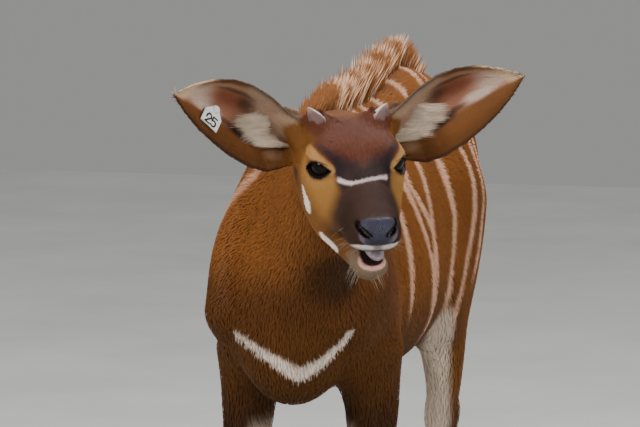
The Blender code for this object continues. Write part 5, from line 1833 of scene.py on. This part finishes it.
def horn_bud(side):
    """A short horn bud: greyish pink in its middle, with a paler rim where it leaves the hair."""
    axes = axes_along(HORN_POINTS * (side, 1, 1))
    at = HORN_AT * (side, 1, 1)
    segments, rows = 40, 26
    rings, colours = [], []
    draw = np.random.default_rng(31 + side)
    wobble = draw.normal(0, 1, (3, 6))
    for i in range(rows):
        share = i / (rows - 1)
        along = -0.006 + (HORN_LENGTH + 0.006) * share
        up = max(along, 0) / HORN_LENGTH
        radius = BUD_RADIUS * max(1 - up**1.3, 0) ** 0.96 + 0.0012 * (1 - up**6)
        turn = np.arange(segments) * 2 * math.pi / segments
        lumps = (wobble[0, k] * np.sin((k + 2) * turn + wobble[1, k] * 3 + up * 4) for k in range(6))
        reach = radius * (1 + 0.016 * sum(lumps)) * (1 + 0.012 * math.sin(up * 42))
        e = np.stack([np.cos(turn) * reach, np.sin(turn) * reach, np.full(segments, along)], 1)
        rings.append(to_world(at + e @ axes.T))
        pale = np.full(segments, smooth(0.5, 1.0, up))
        c = paint(np.tile(srgb(98, 74, 70), (segments, 1)), srgb(142, 116, 108), pale)
        edge = 0.9 * smooth(0.86, 0.97, np.cos(turn - EDGE_TURN[side])) * smooth(-0.2, 0.1, up)
        c = paint(c, srgb(214, 200, 190), edge)
        colours.append(c)
    return shell("horn_bud_left" if side > 0 else "horn_bud_right", rings, np.vstack(colours))


def hoof_claw(name, at, inward):
    """One claw of a hoof with growth rings, a worn edge and a flat sole."""
    rings = []
    shares = (0, 0.02, 0.06, 0.15, 0.25, 0.35, 0.45, 0.55, 0.65, 0.75, 0.85, 0.93, 0.98, 1.0)
    for share in shares:
        wide = np.interp(share, (0, 0.15, 0.6, 1.0), (0.98, 1.03, 0.99, 0.93))
        long = np.interp(share, (0, 0.15, 0.6, 1.0), (1.0, 0.98, 0.5, 0.0))
        ease = 1 - 0.03 * (share in (0, 1.0)) - 0.008 * (1 + math.sin(share * 44))
        length = (CLAW_TOP_LENGTH + (CLAW_SOLE_LENGTH - CLAW_TOP_LENGTH) * long) * ease
        turn = np.arange(44) * 2 * math.pi / 44
        fore, aside = np.cos(turn), np.sin(turn)
        x = np.where(aside > 0, 0.35 + 0.65 * np.abs(aside) ** 0.8, 0.35 * (1 - np.abs(aside) ** 0.5))
        y = at[1] - CLAW_LEAN * long * (1 - share) - fore * length / 2
        narrow = 1 - 0.18 * np.maximum(fore, 0) * (1 - share)
        x = at[0] + inward * (GAP + (0.01 + x * 0.98) * CLAW_WIDTH * wide * ease * narrow)
        top = CORONET_HEIGHT - CORONET_SLOPE * (y - at[1]) - GAP / 2
        rings.append(np.stack([x, y, share * top], 1))
    return shell(name, rings)


def dewclaw(name, at, inward):
    """A small blunt claw behind the pastern."""
    place = np.array(at) + (inward * 0.01, 0, 0)
    axes = axes_along((inward * 0.25, 0.62, -0.74))
    rings = []
    for share in np.linspace(0, 1, 12):
        along = -0.004 + (DEWCLAW_LENGTH * 0.86 + 0.004) * share
        swell = 0.85 + 0.2 * math.sin(share * 2.6)
        radius = DEWCLAW_RADIUS * swell * max(1 - share**3, 0.0) ** 0.5 + 0.0003
        turn = np.arange(24) * 2 * math.pi / 24
        e = np.stack([np.cos(turn) * radius, np.sin(turn) * radius * 0.85, np.full(24, along)], 1)
        rings.append(place + e @ axes.T)
    return shell(name, rings)


FEET = {
    # side, leg's bottom centre along X and Y, and the dewclaws' place
    "fore_left": (1, 0.075, -0.007, (0.034, 0.08)),
    "fore_right": (-1, 0.075, -0.037, (0.004, 0.08)),
    "hind_left": (1, 0.061, 0.458, (0.5, 0.084)),
    "hind_right": (-1, 0.061, 0.533, (0.575, 0.084)),
}


def hooves():
    """Claws and dewclaws of all feet with the CAD nodes that they stand for."""
    made = []
    for foot, (side, x, y, rear) in FEET.items():
        for inward, where in ((-side, "inner"), (side, "outer")):
            node = f"claw_{foot}_{where}"
            made.append((hoof_claw(f"hoof_{foot}_{where}", (side * x, y), inward), node))
            made.append((dewclaw(f"rear_claw_{foot}_{where}", (side * x, *rear), inward), f"dew{node}"))
    return made


def tongue():
    """The tongue in the open mouth, with a shallow middle groove."""
    axes = axes_along((0, 0.17, 1))
    rings = []
    for _, e in sphere_rings(36, 24, 0.03):
        e = e * TONGUE_SIZES
        groove = 0.0014 * np.exp(-((e[:, 0] / 0.003) ** 2)) * (e[:, 2] > 0)
        e[:, 2] -= groove
        rings.append(to_world(TONGUE_AT + e @ axes.T))
    return shell("tongue_moist", rings)


SEGMENTS = {
    # strokes of a digit between places on a grid of its own width and height
    "2": [(0, 2), (0, 3), (1, 4), (2, 4), (3, 3), (3, 2.6), (0, 0), (3, 0)],
    "5": [(3, 4), (0.3, 4), (0.1, 2.2), (1.6, 2.6), (2.7, 2.1), (3, 1.3), (2.6, 0.4), (1.5, 0), (0, 0.4)],
}


def tag_frame():
    """Axes of the ear tag as columns: along its number, towards its pin, and out of the ear's cup."""
    axis, across, faces = ear_frame(-1).T
    turn, tilt = math.radians(TAG_TURN), math.radians(TAG_TILT)
    along = -axis * math.cos(turn) - across * math.sin(turn)
    up = np.cross(faces, along)
    out = faces * math.cos(tilt) + up * math.sin(tilt)
    return np.stack([along, np.cross(out, along), out], 1)


def tag_number():
    """The printed number, thin strokes just proud of the panel on both of its sides."""
    axes = tag_frame()
    at = EAR_BASE * (-1, 1, 1) + ear_frame(-1) @ np.array(TAG_PIN_AT)
    middle_up = -TAG_DROP - TAG_HEIGHT / 2 - 0.0006
    points, faces = [], []
    for face_side in (1, -1):
        for index, digit in enumerate(TAG_NUMBER):
            start = (index - (len(TAG_NUMBER) - 1) / 2) * DIGIT_STEP - DIGIT_WIDTH / 2
            line = np.array(SEGMENTS[digit], float) / (3, 4) * (DIGIT_WIDTH, DIGIT_HEIGHT)
            line += (start, middle_up - DIGIT_HEIGHT / 2)
            for a, b in zip(line[:-1], line[1:]):
                way = (b - a) / np.linalg.norm(b - a)
                aside = np.array((-way[1], way[0])) * DIGIT_STROKE
                a, b = a - way * DIGIT_STROKE * 0.8, b + way * DIGIT_STROKE * 0.8
                corners = [a + aside, b + aside, b - aside, a - aside]
                base = len(points)
                for height in (TAG_THICKNESS / 2 - 0.0002, TAG_THICKNESS / 2 + 0.00015):
                    for x, y in corners:
                        e = np.array((x * face_side, y, height * face_side))
                        points.append(to_world((at + axes @ e)[None])[0])
                faces += [
                    [base, base + 3, base + 2, base + 1],
                    [base + 4, base + 5, base + 6, base + 7],
                ]
                for k in range(4):
                    j = (k + 1) % 4
                    faces.append([base + k, base + j, base + 4 + j, base + 4 + k])
    return mesh_from("tag_number", np.array(points), np.array(faces))


# Materials

class Look:
    """A principled material with a few helpers to wire its nodes."""

    def __init__(self, name, **values):
        self.made = bpy.data.materials.new(name)
        self.made.use_nodes = True
        self.nodes = self.made.node_tree.nodes
        self.links = self.made.node_tree.links
        self.shader = self.nodes["Principled BSDF"]
        for key, value in values.items():
            self.shader.inputs[key.replace("_", " ")].default_value = value

    def node(self, kind, links=(), **values):
        made = self.nodes.new(f"ShaderNode{kind}")
        for key, value in values.items():
            if hasattr(made, key):
                setattr(made, key, value)
            else:
                made.inputs[key.replace("_", " ")].default_value = value
        for source, socket in links:
            self.links.new(source, made.inputs[socket])
        return made

    def noise(self, scale, detail=3.0, rough=0.6, stretch=(1, 1, 1)):
        place = self.node("TexCoord").outputs["Object"]
        mapped = self.node("Mapping", [(place, "Vector")])
        mapped.inputs["Scale"].default_value = stretch
        return self.node(
            "TexNoise", [(mapped.outputs["Vector"], "Vector")], Scale=scale, Detail=detail, Roughness=rough
        ).outputs["Fac"]

    def between(self, value, low, high):
        made = self.node("MapRange", [(value, "Value")])
        made.inputs["To Min"].default_value = low
        made.inputs["To Max"].default_value = high
        return made.outputs["Result"]

    def times(self, colour, factor):
        made = self.node("VectorMath", [(colour, 0), (factor, 1)], operation="MULTIPLY")
        return made.outputs["Vector"]

    def ramp(self, value, stops):
        made = self.node("ValToRGB", [(value, "Fac")])
        marks = made.color_ramp.elements
        for place, colour in stops[2:]:
            marks.new(place)
        for mark, (place, colour) in zip(marks, stops):
            mark.position = place
            mark.color = (*colour, 1)
        return made.outputs["Color"]

    def bump(self, height, strength, distance, after=None):
        links = [(height, "Height")]
        if after is not None:
            links.append((after, "Normal"))
        made = self.node("Bump", links, Strength=strength, Distance=distance)
        return made.outputs["Normal"]

    def feed(self, socket, value):
        self.links.new(value, self.shader.inputs[socket])

    def finished(self, rough, relief):
        """The material with its roughness between two values and, where given, a relief."""
        scale, low, high = rough
        self.feed("Roughness", self.between(self.noise(scale), low, high))
        if relief:
            noise, strength, distance = relief
            self.feed("Normal", self.bump(self.noise(*noise), strength, distance))
        return self.made


def skin_look():
    look = Look("skin", Specular_IOR_Level=0.18)
    paint_node = look.node("Attribute", attribute_name="coat")
    wet = paint_node.outputs["Alpha"]
    grain = look.between(look.noise(900.0), 0.8, 1.16)
    broad = look.between(look.noise(70.0), 0.9, 1.08)
    colour = look.times(look.times(paint_node.outputs["Color"], grain), broad)
    look.feed("Base Color", colour)
    look.feed("Roughness", look.between(wet, 0.72, 0.3))
    pebbles = look.node("TexVoronoi", [(look.node("TexCoord").outputs["Object"], "Vector")], Scale=520.0)
    fur = look.noise(1400.0, 4.0, 0.7)
    mixed = look.node("Mix", [(wet, "Factor")])
    look.links.new(fur, mixed.inputs["A"])
    look.links.new(pebbles.outputs["Distance"], mixed.inputs["B"])
    look.feed("Normal", look.bump(mixed.outputs["Result"], 0.7, 0.0007))
    return look.made


def painted_look(name, specular, grain, rough, relief=None):
    """A look that takes its colour from the mesh, with a grain and uneven roughness."""
    look = Look(name, Specular_IOR_Level=specular)
    noise, low, high = grain
    colour = look.node("Attribute", attribute_name="coat").outputs["Color"]
    look.feed("Base Color", look.times(colour, look.between(look.noise(*noise), low, high)))
    return look.finished(rough, relief)


def mottled_look(name, specular, scale, stops, rough, relief=None):
    """A look whose colour runs through stops by a noise."""
    look = Look(name, Specular_IOR_Level=specular)
    look.feed("Base Color", look.ramp(look.noise(*scale), stops))
    return look.finished(rough, relief)


def coat_look():
    relief = ((2600.0, 2.0), 0.35, 0.0002)
    return painted_look("coat", 0.12, ((500.0,), 0.86, 1.12), (160.0, 0.52, 0.7), relief)


def eye_look():
    return painted_look("eye", 0.11, ((700.0,), 0.7, 1.3), (300.0, 0.04, 0.08))


def rim_look():
    stops = [(0.3, srgb(12, 9, 9)), (0.7, srgb(26, 20, 20))]
    return mottled_look("lid", 0.08, (500.0,), stops, (900.0, 0.25, 0.45), ((1500.0,), 0.4, 0.0003))


def horn_look():
    grain = ((260.0, 5.0, 0.7, (1, 1, 0.35)), 0.72, 1.2)
    return painted_look("horn", 0.35, grain, (400.0, 0.5, 0.75), ((420.0, 6.0, 0.75), 0.6, 0.0006))


def hoof_look():
    look = Look("hoof", Specular_IOR_Level=0.45)
    grain = look.noise(110.0, 5.0, 0.65, (1, 1, 0.18))
    stops = [(0.25, srgb(30, 26, 26)), (0.55, srgb(52, 45, 42)), (0.8, srgb(86, 74, 64))]
    look.feed("Base Color", look.ramp(grain, stops))
    look.feed("Roughness", look.between(look.noise(200.0), 0.38, 0.62))
    rings = look.node("TexWave", Scale=60.0, Distortion=3.0, Detail=2.0)
    rings.bands_direction = "Z"
    look.links.new(look.node("TexCoord").outputs["Object"], rings.inputs["Vector"])
    first = look.bump(rings.outputs["Fac"], 0.35, 0.0004)
    look.feed("Normal", look.bump(look.noise(700.0, 4.0, 0.7, (1, 1, 0.3)), 0.4, 0.0003, first))
    return look.made


def tongue_look():
    stops = [(0.3, srgb(112, 102, 108)), (0.7, srgb(150, 136, 142))]
    return mottled_look("tongue", 0.5, (260.0,), stops, (500.0, 0.28, 0.5), ((1400.0, 3.0), 0.5, 0.0005))


def tag_look():
    stops = [(0.35, srgb(226, 225, 218)), (0.62, srgb(240, 240, 236)), (0.8, srgb(204, 198, 184))]
    return mottled_look("tag", 0.4, (120.0, 4.0), stops, (300.0, 0.4, 0.6), ((900.0,), 0.25, 0.0003))


def ink_look():
    stops = [(0.3, srgb(22, 22, 26)), (0.75, srgb(52, 52, 56))]
    return mottled_look("ink", 0.3, (420.0, 4.0), stops, (300.0, 0.5, 0.7))


# Studio

FLOOR_HALF = 6.0
KEY_AT = Vector((-1.7, -2.8, 1.95))
KEY_SIZE = 1.5
KEY_POWER = 92.0
FILL_AT = Vector((3.2, -2.2, 1.6))
FILL_SIZE = 2.4
FILL_POWER = 80.0
TOP_AT = Vector((0.3, 0.9, 3.6))
TOP_SIZE = 2.6
TOP_POWER = 125.0
AIM = Vector((0.0, 0.1, 0.6))
WORLD_LOW = (0.5, 0.5, 0.48, 1)
WORLD_HIGH = (0.94, 0.94, 0.93, 1)
WORLD_STRENGTH = 0.6


def area_light(name, place, size, power, colour):
    data = bpy.data.lights.new(name, "AREA")
    data.shape = "DISK"
    data.size = size
    data.energy = power
    data.color = colour
    made = bpy.data.objects.new(name, data)
    made.location = place
    made.rotation_euler = (AIM - place).to_track_quat("-Z", "Y").to_euler()
    bpy.context.scene.collection.objects.link(made)


def studio():
    """Plain pale floor, soft lights and a pale world."""
    mesh = bpy.data.meshes.new("floor")
    half = FLOOR_HALF
    corners = [(-half, -half, 0), (half, -half, 0), (half, half, 0), (-half, half, 0)]
    mesh.from_pydata(corners, [], [(0, 1, 2, 3)])
    floor = bpy.data.objects.new("floor", mesh)
    bpy.context.scene.collection.objects.link(floor)
    look = Look("floor", Roughness=0.9, Specular_IOR_Level=0.2)
    stops = [(0.3, (0.5, 0.5, 0.48)), (0.7, (0.56, 0.56, 0.54))]
    look.feed("Base Color", look.ramp(look.noise(3.0), stops))
    mesh.materials.append(look.made)
    area_light("key", KEY_AT, KEY_SIZE, KEY_POWER, (1.0, 0.97, 0.93))
    area_light("fill", FILL_AT, FILL_SIZE, FILL_POWER, (1.0, 1.0, 1.0))
    area_light("top", TOP_AT, TOP_SIZE, TOP_POWER, (1.0, 1.0, 1.0))
    world = bpy.data.worlds.new("studio")
    world.use_nodes = True
    nodes, links = world.node_tree.nodes, world.node_tree.links
    height = nodes.new("ShaderNodeSeparateXYZ")
    links.new(nodes.new("ShaderNodeTexCoord").outputs["Generated"], height.inputs[0])
    shade = nodes.new("ShaderNodeValToRGB")
    shade.color_ramp.elements[0].color = WORLD_LOW
    shade.color_ramp.elements[1].color = WORLD_HIGH
    shade.color_ramp.elements[1].position = 0.8
    links.new(height.outputs["Z"], shade.inputs["Fac"])
    backdrop = nodes["Background"]
    links.new(shade.outputs["Color"], backdrop.inputs["Color"])
    backdrop.inputs["Strength"].default_value = WORLD_STRENGTH
    bpy.context.scene.world = world


def place_camera():
    """The photograph's camera: a long lens, a little above the calf and to its left."""
    turn, rise = math.radians(CAMERA_TURN), math.radians(CAMERA_RISE)
    right = np.array((math.cos(turn), math.sin(turn), 0))
    toward = np.array((math.sin(turn) * math.cos(rise), -math.cos(turn) * math.cos(rise), math.sin(rise)))
    up = np.cross(toward, right)
    width, height = FRAME_SIZE
    aside = (HEAD_PIXEL[0] - width / 2) * METRES_PER_PIXEL
    above = (HEAD_PIXEL[1] - height / 2) * METRES_PER_PIXEL
    middle = HEAD_AT + SHIFT - right * aside + up * above
    data = bpy.data.cameras.new("camera")
    data.sensor_width = SENSOR
    data.lens = SENSOR * CAMERA_DISTANCE / (width * METRES_PER_PIXEL)
    data.clip_end = 50.0
    made = bpy.data.objects.new("camera", data)
    matrix = Matrix(np.column_stack([right, up, toward]).tolist()).to_4x4()
    matrix.translation = Vector(middle + toward * CAMERA_DISTANCE)
    made.matrix_world = matrix
    bpy.context.scene.collection.objects.link(made)
    bpy.context.scene.camera = made


def dress(obj, material):
    obj.data.materials.clear()
    obj.data.materials.append(material)
    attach(obj, "root")


SKIN_SHADE = 0.9
FLESH = ["torso", "neck", "head", "tail", "ear_left", "ear_right"]
FLESH += ["foreleg_left", "foreleg_right", "hindleg_left", "hindleg_right"]


def main():
    draw = np.random.default_rng(20)
    place_camera()
    studio()
    parts = [skin_half(True), skin_half(False)]
    start = len(parts[0][0])
    points = np.vstack([part[0] for part in parts])
    faces = np.vstack([parts[0][1], parts[1][1] + start])
    normals = np.vstack([part[2] for part in parts])
    q = head_place(points)
    wet = bare(q) * (beyond_head(q) < 0)
    colours = np.column_stack([colour_of(points, normals) * SKIN_SHADE, wet])
    corner_area = np.repeat(region_of(points[faces].mean(1)), 3)
    corner_normal = np.repeat(normals[faces].mean(1), 3, axis=0)
    uv = unwrap(points[faces.ravel()], corner_normal, corner_area)
    body = mesh_from("skin", points, faces, colours, uv, normals)
    dress(body, skin_look())
    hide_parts(*FLESH)
    fur = coat_look()
    for piece in coat(points, faces, normals, draw):
        dress(piece, fur)
    dress(crest(draw), fur)
    dress(tail_tuft(draw), fur)
    for side in (1, -1):
        dress(ear_hair(side, draw), fur)
        dress(bud_hair(side, draw), fur)
    dress(whiskers(draw), fur)
    wet_eye, rim, bud = eye_look(), rim_look(), horn_look()
    for side, name in ((1, "left"), (-1, "right")):
        ball = eyeball(side)
        dress(ball, wet_eye)
        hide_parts(f"eye_{name}")
        dress(lid_rim(side), rim)
        horn = horn_bud(side)
        dress(horn, bud)
        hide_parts(f"horn_{name}")
    keratin = hoof_look()
    for piece, node in hooves():
        dress(piece, keratin)
        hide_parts(node)
    lick = tongue()
    dress(lick, tongue_look())
    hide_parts("tongue")
    plastic = tag_look()
    for node in ("tag_panel", "tag_pin"):
        obj = frame["nodes"][node]
        for slot in obj.material_slots:
            slot.material = plastic
        edge = obj.modifiers.new("edge", "BEVEL")
        edge.width = 0.0004
        edge.segments = 2
    dress(tag_number(), ink_look())


main()
